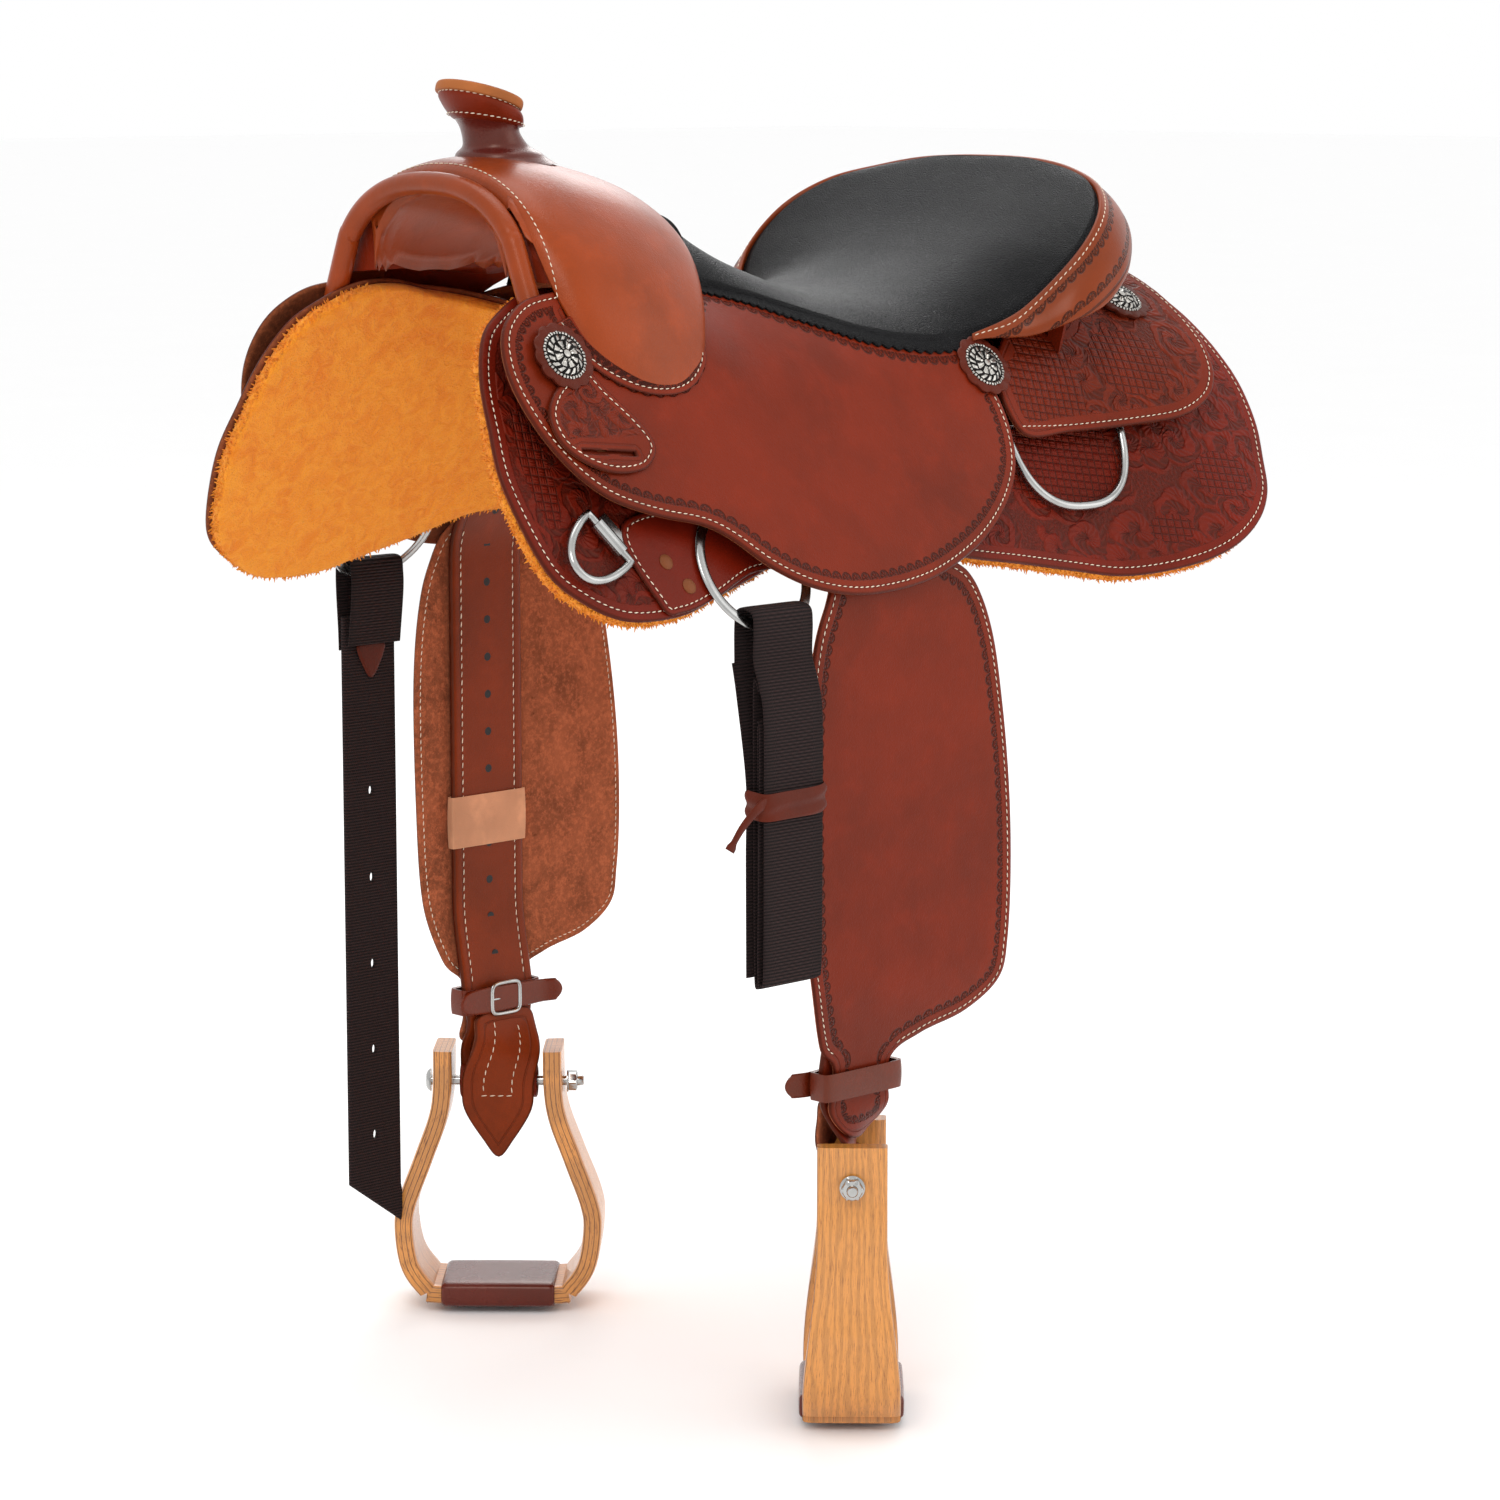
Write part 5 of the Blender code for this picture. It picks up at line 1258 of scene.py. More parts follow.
def add_jockeys():
    """Seat and rear jockeys, slotted tabs, the welts at the fork's foot and the conchos."""
    edge, foot, tab = open_run(JOCKEY_EDGE), open_run(FORK_LINE), smooth(TAB_OUTLINE, 2.0)
    jockey = edge + open_run([Vector(p) for p in reversed(SEAT_SIDES)]) + foot
    rear = rear_jockey_loop()
    outer = beside(foot, -15.0)
    inner = [b + (b - o).normalized() * 2.0 for b, o in zip(foot, outer)]
    tab_seam = inset(tab, SMALL_SEAM)
    seams = [("jockey_thread", beside(edge, -JOCKEY_SEAM), JOCKEY),
             ("rear_thread", beside(open_run(REAR_JOCKEY_EDGE), JOCKEY_SEAM), REAR_JOCKEY),
             ("tab_thread", tab_seam + tab_seam[:1], TAB)]
    for hand, side in HANDS.items():
        lay(side + "seat_jockey_leather", "jockey", jockey, on_side, JOCKEY, hand,
            "jockey flesh", [side + "seat_jockey"], slot="leather")
        lay(side + "rear_jockey_leather", "rear", rear, on_side, REAR_JOCKEY, hand,
            "rear flesh", [side + "rear_jockey"], slot="skirting")
        lay(side + "tab_leather", "tab", tab, on_side, TAB, hand, "tab flesh",
            [side + "slot_tab"], [TAB_SLOT], 4.0, slot="leather")
        for name, line, layer in seams:
            sew(side + name, line, on_side, top_of(layer) + THREAD_LIFT, hand)
        lay(side + "fork_welt", "welt", outer + inner[::-1], on_side, WELT, hand,
            "welt_band flesh", grid=4.0, slot="leather")
        sew(side + "welt_thread", [b + (o - b) * 0.72 for b, o in zip(foot, outer)], on_side,
            top_of(WELT) + THREAD_LIFT, hand)
        for key, (x, v, depth) in CONCHO_PLACES.items():
            concho(side + "concho_" + key, seat_on(on_side, x, v, depth, hand))


def concho(name, at):
    """Domed silver rosette with petals and a beaded edge, on a scalloped leather rosette."""

    def frill(angle, radius):
        return (1.0 + 0.08 * abs(math.cos(6 * angle)) if radius > 18 else 1.0, 0.0)

    def petals(angle, radius):
        lobe = abs(math.cos(5 * angle))
        if radius > 15.5:
            return 1.0 + 0.05 * (abs(math.cos(8 * angle)) - 0.5), 0.0
        if radius > 3.5:
            return 1.0, 0.9 * lobe ** 0.6 - 0.45
        return 1.0, 0.0

    turned(name + "_rosette", [(22.4, -1.2), (22.8, 0.9), (22.0, 1.6), (14.0, 1.7), (0, 1.7)], at,
           "dark", steps=72, wave=frill)
    profile = [(17.0, 1.0), (17.6, 1.4), (17.4, 2.3), (16.4, 2.8), (15.2, 2.0), (14.6, 2.0),
               (13.6, 2.7), (11.5, 3.3), (9.0, 3.7), (7.2, 3.6), (6.0, 4.0), (5.0, 3.2),
               (4.0, 4.0), (3.4, 4.9), (1.8, 5.3), (0.0, 5.4)]
    turned(name + "_silver", profile, at, "silver", [name], steps=80, wave=petals, slot="silver")


def add_fork():
    """Fork cover, the roll round its front edge, and the horn."""
    arches = {}

    def lines_at(u):
        """The cover's outer arch and its underside at a share of its length."""
        key = round(u, 5)
        if key not in arches:
            arch = fork_arch((len(FORK_ROWS) - 1) * u)
            x = arch[0].x
            rise = 1 - 0.52 * ease(x, -300.0, -128.0)
            foot, top = (v_at(x, y, FORK_FLOOR) for y in (arch[-1].y, GULLET_ARCH[0][0]))
            under = [on_side(x, foot + (top - foot) * k / 8, FORK_FLOOR) for k in range(9)]
            under += [Vector((x, y * 0.98, 37.0 + (z - 39.0) * rise)) for y, z in GULLET_ARCH]
            arches[key] = arch, under + [Vector((p.x, -p.y, p.z)) for p in under[-2::-1]]
        return arches[key]

    def place(u, v):
        mine, other = lines_at(u)
        share = v / 0.6
        if v > 0.6:
            share, mine, other = (v - 0.6) / 0.4, other, mine
        point, across = at_length(mine, share), at_length(other, 1.0 - share)
        closing = 1.0 - ease(u, 0.0, 0.05)
        return point.lerp((point + across) / 2, closing) - Vector((2.0 * closing, 0, 0))

    skin("fork_leather", 64, 120, place, "cover", ["fork_cover"], closed=True, slot="cover")
    binding = [p + Vector((BINDING_SET, 0, 0)) for p in fork_arch(0.0, BINDING_SET)]
    binding = [(-307.0, -106.0, 20.0), *binding, (-307.0, 106.0, 20.0)]
    wire("gullet_binding", open_run(binding), BINDING_R, "cover", ["gullet_roll"], cyclic=False,
         slot="cover", resolution=8)
    stitches("fork_thread", [(p, from_axis(p)) for p in open_run(fork_arch(0.85, 0.3), 2.0)])

    def round_horn(table):
        def at(u, v):
            height, radius = row_at(table, v * (len(table) - 1))
            return horn_point(height, 2 * math.pi * u, radius)
        return at

    def flat_horn(table):
        def at(u, v):
            radius, height = row_at(table, v * (len(table) - 1))
            return horn_point(1.0, 2 * math.pi * u, radius, height)
        return at

    neck = [(0.0, NECK_R + 16), (0.1, NECK_R + 10.5), (0.18, NECK_R + 7.5), (0.30, NECK_R + 1),
            (0.52, NECK_R - 1), (0.66, NECK_R + 1.0), (0.72, NECK_R + 3.0)]
    bulb = [(0.64, NECK_R + 0.5), (0.68, NECK_R + 3.5), (0.80, CAP_R - 2.5), (0.92, CAP_R - 1.2),
            (1.0, CAP_R - 3.0)]
    rise = [(CAP_R - 3.0, -0.4), (CAP_R - 0.6, 0.0), (CAP_R, 1.6), (CAP_R, CAP_T - 2.2),
            (CAP_R - 0.8, CAP_T - 0.6)]
    crown = [(CAP_R - 0.8, CAP_T - 0.6), (CAP_R - 2.4, CAP_T), (CAP_R - 7.0, CAP_T + 0.5),
             (CAP_R - 9.0, CAP_T - 0.2), (CAP_R - 11.0, CAP_T + 0.7), (CAP_R * 0.3, CAP_T + 1.2),
             (0.05, CAP_T + 1.3)]
    skin("horn_neck", 64, 30, round_horn(neck), "wrap", ["horn_wrap"], slot="wrap")
    skin("horn_bulb", 64, 24, round_horn(bulb), "loose", slot="wrap")
    skin("horn_cap_rim", 72, 14, flat_horn(rise), "tan", slot="tan")
    skin("horn_cap_top", 72, 24, flat_horn(crown), "loose", ["horn_cap"], slot="tan")
    for name, height, radius in (("bulb_thread", 0.70, NECK_R + 5.2),
                                 ("cap_thread", 0.985, CAP_R - 2.6)):
        ring = [horn_point(height, 2 * math.pi * i / 90, radius) for i in range(91)]
        centre = sum(ring, Vector()) / len(ring)
        stitches(name, [(p, (p - centre).normalized()) for p in ring], 3.2, 4.6, 0.45)


def add_seat():
    """The padded seat and the pinked strips along its sides."""
    last = len(SEAT_ROWS) - 1

    def surface(u, q, lift):
        edge, centre = row_at(EDGES, last * u), row_at(CENTRES, last * u)
        bend = abs(q) ** 3
        return Vector((centre[0] + (edge[0] - centre[0]) * bend, q * edge[1],
                       centre[1] + (edge[2] - centre[1]) * bend + lift))

    def place(u, v):
        if v <= 0.5:
            q = math.sin((v * 4 - 1) * math.pi / 2)
            plump = 1.6 * (1 - abs(q) ** 6) - 3.4 * ease(abs(q), 0.965, 1.0)
            return surface(u, q, plump - 0.6)
        q = math.sin((3 - v * 4) * math.pi / 2)
        return surface(u, q, -4.0 - 11.5 * (1 - q * q))

    seat = skin("seat_pad", 150, 120, place, "seat", ["padded_seat"], closed=True, slot="seat")
    steps = len(SEAT_SIDES) - 1
    for hand, side in HANDS.items():
        def pinked(u, v):
            x, down = row_at(SEAT_SIDES, steps * u)
            ahead = row_at(SEAT_SIDES, steps * min(u + 0.01, 1.0))
            along = Vector((ahead[0] - x, ahead[1] - down))
            if u > 0.99:
                back = row_at(SEAT_SIDES, steps * (u - 0.01))
                along = Vector((x - back[0], down - back[1]))
            along.normalize()
            scallop = abs(math.sin(math.pi * u * PINKS))
            reach = -6.0 + (12.5 + 2.4 * scallop) * min(v * 2, 1.0)
            depth = 37.3 - 1.6 * max(v * 2 - 1, 0.0)
            p = Vector((x, down)) + Vector((-along.y, along.x)) * reach
            return mirrored(on_side(p.x, p.y, depth), hand)

        skin(side + "seat_pinking", 300, 8, pinked, "seat", slot="seat")


def add_cantle():
    """The stamped roll round the cantle, its stitches, and the leather behind it."""
    rings = {}

    def place(u, v):
        key = round(u, 5)
        if key not in rings:
            rings[key] = roll_ring(-1 + 2 * u)
        return at_length(rings[key][0], v, closed=True)

    def back(u, v):
        t = -0.965 + 1.93 * u
        out = rim(t)[1]
        head = at_length(roll_ring(t)[0], 0.66, closed=True) + Vector((0, 0, 1.5))
        lean = ease(abs(t), 0.2, 0.55)
        fall = -out * (0.35 + 1.3 * lean) - Vector((0, 0, 1.0 - 0.55 * lean))
        low = bisect(0.5, 90.0, lambda way: depth_of(head + fall * way) > BACK_FLOOR, 24)
        share = min(min(v, 1.0 - v) / FACE_SHARE, 1.0)
        inner = min(max((v - FACE_SHARE) / (1.0 - 2 * FACE_SHARE), 0.0), 1.0)
        bulge = out * (1.6 * math.sin(math.pi * share) * (1 if v < 0.5 else 0))
        return (head + fall * low).lerp(head, share) - out * BACK_THICK * inner + bulge

    skin("cantle_back_leather", 120, 24, back, "cover", ["cantle_back"], closed=True,
         slot="cover")
    roll = skin("cantle_leather", 160, 60, place, "roll", ["cantle_roll"], closed=True,
                slot="cover")
    flat, edge = roll.data.uv_layers["flat"], roll.data.uv_layers.new(name="edge")
    keys = sorted(rings)
    lengths = {key: reaches(ring + ring[:1])[-1] for key, (ring, _) in rings.items()}
    middles = [rings[key][0][len(rings[key][0]) // 4] for key in keys]
    ways = dict(zip(keys, reaches(middles)))
    for i, item in enumerate(flat.data):
        u, v = item.uv
        key = min(keys, key=lambda k: abs(k - round(u * 160) / 160))
        over = v * lengths[key]
        item.uv = (ways[key], over)
        edge.data[i].uv = (ways[key], rings[key][1] - over)
    lines = []
    for i in range(161):
        t = -1 + 2 * (i + 0.5) / 162
        ring, wide = roll_ring(t)
        whole = reaches(ring + ring[:1])[-1]
        p = at_length(ring, min(5.5, wide * 0.4) / whole, closed=True)
        q = at_length(ring, min(7.5, wide * 0.5) / whole, closed=True)
        ahead = at_length(roll_ring(min(t + 0.01, 1.0))[0], 5.5 / whole, closed=True)
        out = (q - p).cross(ahead - p).normalized()
        lines.append((p, out if out.z > 0 else -out))
    stitches("roll_thread", lines)


def box_of(node):
    """Low and high corner of a CAD solid, in millimetres."""
    return [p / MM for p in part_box(node)]


def band(name, node, looks, wall=1.6, **fit):
    """A closed band of leather with the size and place of a CAD box, its faces rounded."""
    low, high = box_of(node)
    centre, half = (low + high) / 2, (high - low) / 2

    def at(u, v):
        k = v * 4
        inner = -1 + 2 * min(max(k - 1.4, 0) / 1.2, 1.0)
        height = -1.0 if k < 1 else 1.0 if k > 3 else inner
        push = min(k, 4 - k, 1.0)
        grow = 0.6 * (1 - height * height) - wall * (1 - push) - 0.6
        x, y = squared(u, 0.25)
        return Vector((centre.x + x * (half.x + grow), centre.y + y * (half.y + grow),
                       centre.z + height * (half.z - 0.5 * (1 - push))))

    skin(name, 96, 24, at, looks, [node], slot="leather", sharp=40, **fit)


def strap_outline():
    """The stirrup leather, laid out flat down to its loop."""
    half, narrow = STRAP_W / 2, 30.0
    right = [(half, 76.0), (half, hang_at(-528.0)), (narrow, hang_at(-556.0)),
             (narrow, hang_at(-587.0))]
    corners = [(-half, 76.0), *right] + [(-x, t) for x, t in reversed(right[1:])]
    corners = [Vector((STRAP_X + x, t)) for x, t in corners]
    out = []
    for a, b in zip(corners, corners[1:] + corners[:1]):
        count = max(int((b - a).length / 4), 1)
        out += [a.lerp(b, k / count) for k in range(count)]
    return out


def fender_outline():
    """The fender, laid out flat on the hanging strap."""
    neck = 28.0
    blade = [(STRAP_X - STRAP_W / 2, 112.0)] + [(x, hang_at(z)) for x, z in FENDER_FRONT]
    blade += [(STRAP_X + x, hang_at(z)) for x, z in
              ((-neck, -520), (-neck, -566), (neck, -566), (neck, -520))]
    blade += [(x, hang_at(z)) for x, z in FENDER_REAR]
    return smooth(blade + [(STRAP_X + STRAP_W / 2 + 8, 112.0)])


def through_bow(hand):
    """Frame of the stirrup's bolt: Z along it."""
    return upright(BOLT_Z, hand) @ Matrix(((0, 0, 1, 0), (1, 0, 0, 0), (0, 1, 0, 0),
                                           (0, 0, 0, 1)))


def add_straps():
    """Stirrup leathers, fenders, buckle sleeves, hobble straps and their buckles."""
    strap, blade = strap_outline(), fender_outline()
    seam = inset(blade, JOCKEY_SEAM)
    path = [p for p in seam + seam[:1] if hang_at(-566) > p.y > 150 and
            (p.y < hang_at(-500) or abs(p.x - STRAP_X) > 30)]
    runs = {"front": sorted((p for p in path if p.x < STRAP_X), key=seam.index),
            "rear": sorted((p for p in path if p.x >= STRAP_X), key=seam.index)}
    heights = range(-165, -520, -4)
    for hand, side in HANDS.items():
        body = side + "fender_swinging"
        lay(side + "stirrup_strap", "strap", strap, hanging, STRAP, hand, "plain strap",
            [side + "stirrup_leather"], body=body, slot="leather")
        lay(side + "fender_leather", "fender", blade, hanging, FENDER, hand, "fender suede",
            [side + "fender"], body=body, slot="leather")
        for name, run in runs.items():
            for face, depth in (("", top_of(FENDER) + THREAD_LIFT),
                                ("_inner", FENDER[0] - THREAD_LIFT)):
                sew(side + "fender_thread_" + name + face, run, hanging, depth, hand, body=body)
        for i, x in enumerate((STRAP_X - 26.0, STRAP_X + 26.0)):
            sew(side + "strap_thread_%d" % i, [Vector((x, hang_at(z))) for z in heights],
                hanging, STRAP[0] - THREAD_LIFT, hand, *HEAVY_THREAD, body=body)
        # Painted shade: thin black discs on the strap's inner face stand in for its holes, which
        # are not cut
        for i, z in enumerate(range(-150, -500, -29)):
            at = seat_on(hanging, STRAP_X, hang_at(z), STRAP[0], hand)
            turned(side + "strap_hole_shade_%02d" % i, [(3.4, -0.6), (3.2, 0.05), (2.7, 0.04), (0, 0.03)],
                   at @ Matrix.Rotation(math.pi, 4, "X"), "black", body=body, steps=20)
        place_tip(side, hand, body)
        band(side + "sleeve_leather", side + "buckle_sleeve", "natural", body=side + "sleeve")
        band(side + "hobble_leather", side + "hobble_strap", "harness", 2.4, body=body)
        low, high = box_of(side + "hobble_strap")
        face, across = min(abs(low.y), abs(high.y)) - 0.1, (low.z + high.z) / 2

        def end(x, v, d):
            return Vector((STRAP_X + (x if hand == OFF else -x),
                           face - d - 5.0 * ease(x, 36.0, 56.0), across + v))

        lay(side + "hobble_end", "hobble_end", smooth(HOBBLE_END, 2.0), end, (0.0, 2.4), hand,
            "harness harness", grid=4.0, body=body)
        buckle(side, hand, body)
        turned(side + "strap_loop", STRAP_EYE, through_bow(hand), "loose", steps=48, body=body)


def place_tip(side, hand, body):
    """Pointed end of the leather that hangs inside the loop."""

    def inward(x, z, d):
        angle = -TWIST * ease(-z, 542.0, 600.0)
        flat = Vector((math.cos(angle), math.sin(angle), 0)) * x
        out = Vector((-math.sin(angle), math.cos(angle), 0))
        reach = 3.0 + 12.6 * ease(-z, 542, 580) - 3.0 * ease(-z, 612, 650)
        return upright(z, OFF).translation + flat - out * (reach + d)

    lay(side + "leather_tip", "tip", smooth(TIP_OUTLINE), inward, (0.0, 4.0), hand,
        "strap suede", body=body, slot="leather")
    seam = [Vector(p) for p in ((-11, -548), (-11, -606), (11, -606), (11, -548))]
    path = [a.lerp(b, k / 12) for a, b in zip(seam, seam[1:]) for k in range(12)]
    sew(side + "tip_thread", path, inward, 4.0 + THREAD_LIFT, hand, *HEAVY_THREAD, body=body)


def buckle(side, hand, body):
    """Small steel buckle on the hobble strap, with its prong."""
    node = side + "hobble_buckle"
    low, high = box_of(node)
    centre, half = (low + high) / 2, (high - low) / 2
    ring = []
    for i in range(40):
        x, z = squared(i / 40, 0.4)
        ring.append(centre + Vector(((half.x - 1.8) * x, 0, (half.z - 1.8) * z)))
    wire(side + "buckle_frame", ring, 1.7, "steel", [node], body=body, slot="steel")
    prong = [centre + Vector((x, y * hand, 0)) for x, y in
             ((3 - half.x, 0.6), (0, 1.2), (half.x - 1, 1.5))]
    wire(side + "buckle_prong", prong, 1.3, "steel", body=body, cyclic=False)


def add_stirrups():
    """Laminated bows with their treads, bolts, rollers and lacing."""
    run = [Vector(p) for p in STIRRUP_HALF]
    outer = open_run(run + [Vector((-p.x, p.y)) for p in reversed(run)], 2.5)
    middle = beside(outer, -BOW_SET)
    whole = reaches(middle)[-1]
    low, high = STIRRUP_BOTTOM_Z - 2.9, STIRRUP_BOTTOM_Z + 17.9
    for hand, side in HANDS.items():
        level = upright(BOLT_Z, hand)
        level.translation.z = 0.0

        def bow(u, v):
            p, i = between(middle, u * (len(middle) - 1))
            forth = (middle[i + 1] - middle[i]).normalized()
            wide = 50.0 + 20.0 * ease(-p.y, 640.0, 754.0)
            a, b = squared(v, BOW_SQUARE)
            p = p + Vector((-forth.y, forth.x)) * a * BOW_HALF
            return level @ Vector((p.x, b * wide / 2, p.y))

        def tread(u, v):
            x = -44.0 + 88.0 * u
            plump = 0.55 * math.sin(math.pi * u) ** 0.3 - 1.2 * ease(abs(x), 41.5, 44.0)
            a, b = squared(v, 0.3, 0.4)
            return level @ Vector((x, a * (37.3 + plump), (low + high) / 2 + b * (10.0 + plump)))

        fit = {"body": side + "stirrup_swinging"}
        wood = skin(side + "stirrup_bow", 150, 48, bow, "oak", [side + "stirrup"], closed=True,
                    slot="oak", sharp=60, **fit)
        edge = wood.data.uv_layers.new(name="edge")
        for i, item in enumerate(wood.data.uv_layers["flat"].data):
            u, v = item.uv
            a, b = squared(v, BOW_SQUARE)
            item.uv = (u * whole, b * 30.0)
            edge.data[i].uv = (a * BOW_HALF + BOW_SET, 1.0 if abs(a) > abs(b) else 0.0)
        skin(side + "tread_leather", 60, 64, tread, "wrap", [side + "stirrup_tread"],
             closed=True, slot="wrap", **fit)
        lace = []
        for i in range(9):
            x, y = -34.0 + 8.5 * i, (6.0 if i % 2 else -6.0)
            lace += [level @ Vector((x, y, low - 0.4)), level @ Vector((x + 4.2, 0, low - 1.8))]
        wire(side + "tread_lace", open_run(lace, 2.0), 1.5, "dark", cyclic=False, resolution=3,
             **fit)
        profile = BOLT_PROFILE if hand == OFF else [(r, -h) for r, h in reversed(BOLT_PROFILE)]

        def hexagon(angle, radius):
            if 7.4 < radius < 7.6:
                return 1.0 / (math.cos((angle % (math.pi / 3)) - math.pi / 6)) * 0.95, 0.0
            return 1.0, 0.0

        turned(side + "bolt", profile, through_bow(hand), "steel", [side + "stirrup_bolt"],
               steps=48, slot="steel", wave=hexagon, **fit)
        turned(side + "spacer", SPACER_PROFILE, through_bow(hand), "black",
               [side + "stirrup_roller"], **fit)


def ring_low():
    """Height of the rigging ring's lowest point."""
    centre = on_side(RING_X, RING_V, RING_D + RING_T / 2)
    down = on_side(RING_X, RING_V + 1, 0) - on_side(RING_X, RING_V, 0)
    return (centre + down.normalized() * (RING_R - RING_W / 2)).z


def web(name, path, width, hand, body, replaces=(), shift=0.0):
    """Webbing: a path of (y, z) given a thickness and a width across X."""
    line = open_run(path, 1.6)
    sides = [beside(line, WEB_T / 2), beside(line, -WEB_T / 2)]
    whole = reaches(line)[-1]

    def at(u, v):
        x, share = squared(u, 0.25, 0.6)
        a, b = (between(s, v * (len(line) - 1))[0] for s in sides)
        p = a.lerp(b, share / 2 + 0.5)
        return Vector((RING_X + shift + x * width / 2, p.x * hand, p.y))

    strap = skin(name, 40, len(line) - 1, at, "nylon", replaces, closed=True, body=body,
                 slot="nylon")
    for item in strap.data.uv_layers["flat"].data:
        u, v = item.uv
        item.uv = (math.cos(2 * math.pi * u) * width / 2, v * whole)


def add_rigging():
    """Rigging rings with the folded latigo and the billet, and the dees."""
    middle = RING_R - RING_W / 2
    profile = [(middle + RING_W / 2 * math.cos(a), RING_T / 2 * math.sin(a))
               for a in (2 * math.pi * i / 16 for i in range(17))]
    for hand, side in HANDS.items():
        turned(side + "ring_steel", profile,
               seat_on(on_side, RING_X, RING_V, RING_D + RING_T / 2, hand), "steel",
               [side + "rigging_ring"], body=side + "ring", steps=96, slot="steel")
    fold_latigo(ring_low())
    tie()
    hang_billet(ring_low())
    for hand, side in HANDS.items():
        dees(side, hand)


def fold_latigo(z):
    """The latigo's folds below a ring that ends at height z."""
    low, high = box_of("latigo")
    inner, outer, top, end = -high.y, -low.y, high.z, low.z
    folds = [
        [(inner + 1.2, z - 22), (inner + 1.2, z + 2), (inner + 3.2, top - 3.4),
         (inner + 10.5, top - 1.4), (inner + 18.5, top - 4.5), (inner + 20.2, z + 2),
         (inner + 20.0, z - 20), ((inner + outer) / 2 + 9.5, z - 36),
         (outer - 1.6, z - 60), (outer - 1.4, -330), (outer - 1.8, end + 14),
         (outer - 4.6, end + 2.2), (outer - 7.6, end + 12), (outer - 6.4, -330),
         (outer - 6.0, z - 70), (outer - 8.2, z - 60)],
        [(outer - 8.8, z - 40), (outer - 11.2, z - 34), (outer - 13.6, z - 42),
         (outer - 13.4, -330), (outer - 12.4, end + 9), (outer - 9.8, end + 2.6),
         (outer - 9.0, end + 14), (outer - 9.0, -330), (outer - 9.4, z - 64)],
        [(inner + 1.2, z - 22), (inner + 6.0, z - 46), (outer - 16.4, -300),
         (outer - 16.6, -350), (outer - 16.2, end + 6)],
    ]
    for i, path in enumerate(folds):
        web("latigo_fold_%d" % i, path, LATIGO_W, NEAR, "latigo", ["latigo"] if i == 0 else (),
            (0.0, 1.6, -2.4)[i])


def hang_billet(z):
    """The billet: its eye round a ring that ends at height z, its blade and its keeper."""
    low, high = box_of("off_billet")
    inner, outer, top, end = low.y, high.y, high.z, low.z
    back = inner + 11.5 + 1.3
    eye = [(inner + 6, z - 52), (inner + 1.3, z - 14), (inner + 1.3, z + 2),
           (inner + 3.0, top - 3.4), (inner + 10.5, top - 1.4), (inner + 18.2, top - 4.5),
           (outer - 1.3, z + 2), (outer - 1.6, z - 14), (back + 5.0, z - 40), (back + 4.6, z - 56)]
    web("billet_eye", eye, BILLET_W, OFF, "off_billet")
    half = BILLET_W / 2
    blade = [Vector(p) for p in ((-half, z - 30), (half, z - 30), (half, end + 2),
                                 (-half, end + 2 + BILLET_W * math.tan(math.radians(36))))]
    blade = [a.lerp(b, k / 10) for a, b in zip(blade, blade[1:] + blade[:1]) for k in range(10)]
    slots = [[(1.7 * math.cos(a), end + 75 + 67.0 * i + 3.4 * math.sin(a))
              for a in (2 * math.pi * k / 14 for k in range(14))] for i in range(5)]

    def fall(x, v, d):
        return Vector((RING_X + x, back - 1.3 + d, v))

    lay("billet_web", "billet", blade, fall, (0.0, 4.6), OFF, "nylon nylon", ["off_billet"],
        slots, body="off_billet", slot="nylon")
    keeper = smooth([(-11, z - 52), (11, z - 52), (13, z - 58), (5, z - 74), (0, z - 78),
                     (-5, z - 74), (-13, z - 58)], 1.5)
    for name, d in (("inner", -2.4), ("outer", 4.9)):
        lay("billet_keeper_" + name, "keeper", keeper, fall, (d, 2.2), OFF, "dark dark",
            grid=3.0, body="off_billet")


def tie():
    """Soft leather tie round the folded latigo, with its loose tail."""
    low = box_of("latigo")[0]
    centre = Vector((RING_X, low.y + 8.6, -312.0))
    half = Vector((LATIGO_W / 2 + 4.0, 12.0, 9.5))

    def at(u, v):
        angle, height = 2 * math.pi * u, 2 * v - 1
        x, y = squared(u, 0.35, 0.5)
        crease = 0.7 * math.sin(height * 5.0 + 1.5 * math.sin(angle * 2)) - 1.0 * abs(height) ** 4
        return centre + Vector((x * (half.x + crease), y * (half.y + crease),
                                height * half.z + 2.2 * math.sin(angle + 0.6)))

    skin("latigo_tie", 80, 16, at, "dark", body="latigo")
    line = open_run([(RING_X + x, low.y + y, z) for x, y, z in TIE_TAIL], 2.0)

    def tail(u, v):
        p, i = between(line, v * (len(line) - 1))
        forth = (line[i + 1] - line[i]).normalized()
        across = forth.cross(Vector((0, 1, 0))).normalized()
        angle = 2 * math.pi * u
        wide = 4.0 - 1.6 * v + 2.0 * ease(v, 0.85, 0.95)
        return p + across * math.cos(angle) * wide + across.cross(forth) * math.sin(angle) * 1.3

    skin("latigo_tie_tail", 24, 30, tail, "dark", closed=True, body="latigo")


def dee(half, depth, fullness):
    """D in a plane: a straight bar along X and a bow below it."""
    points = [(half * (2 * i / 12 - 1), 0.0) for i in range(12)]
    bow = [squared(i / 80, 2 / fullness) for i in range(40)]
    return points + [(half * x, -depth * y) for x, y in bow]


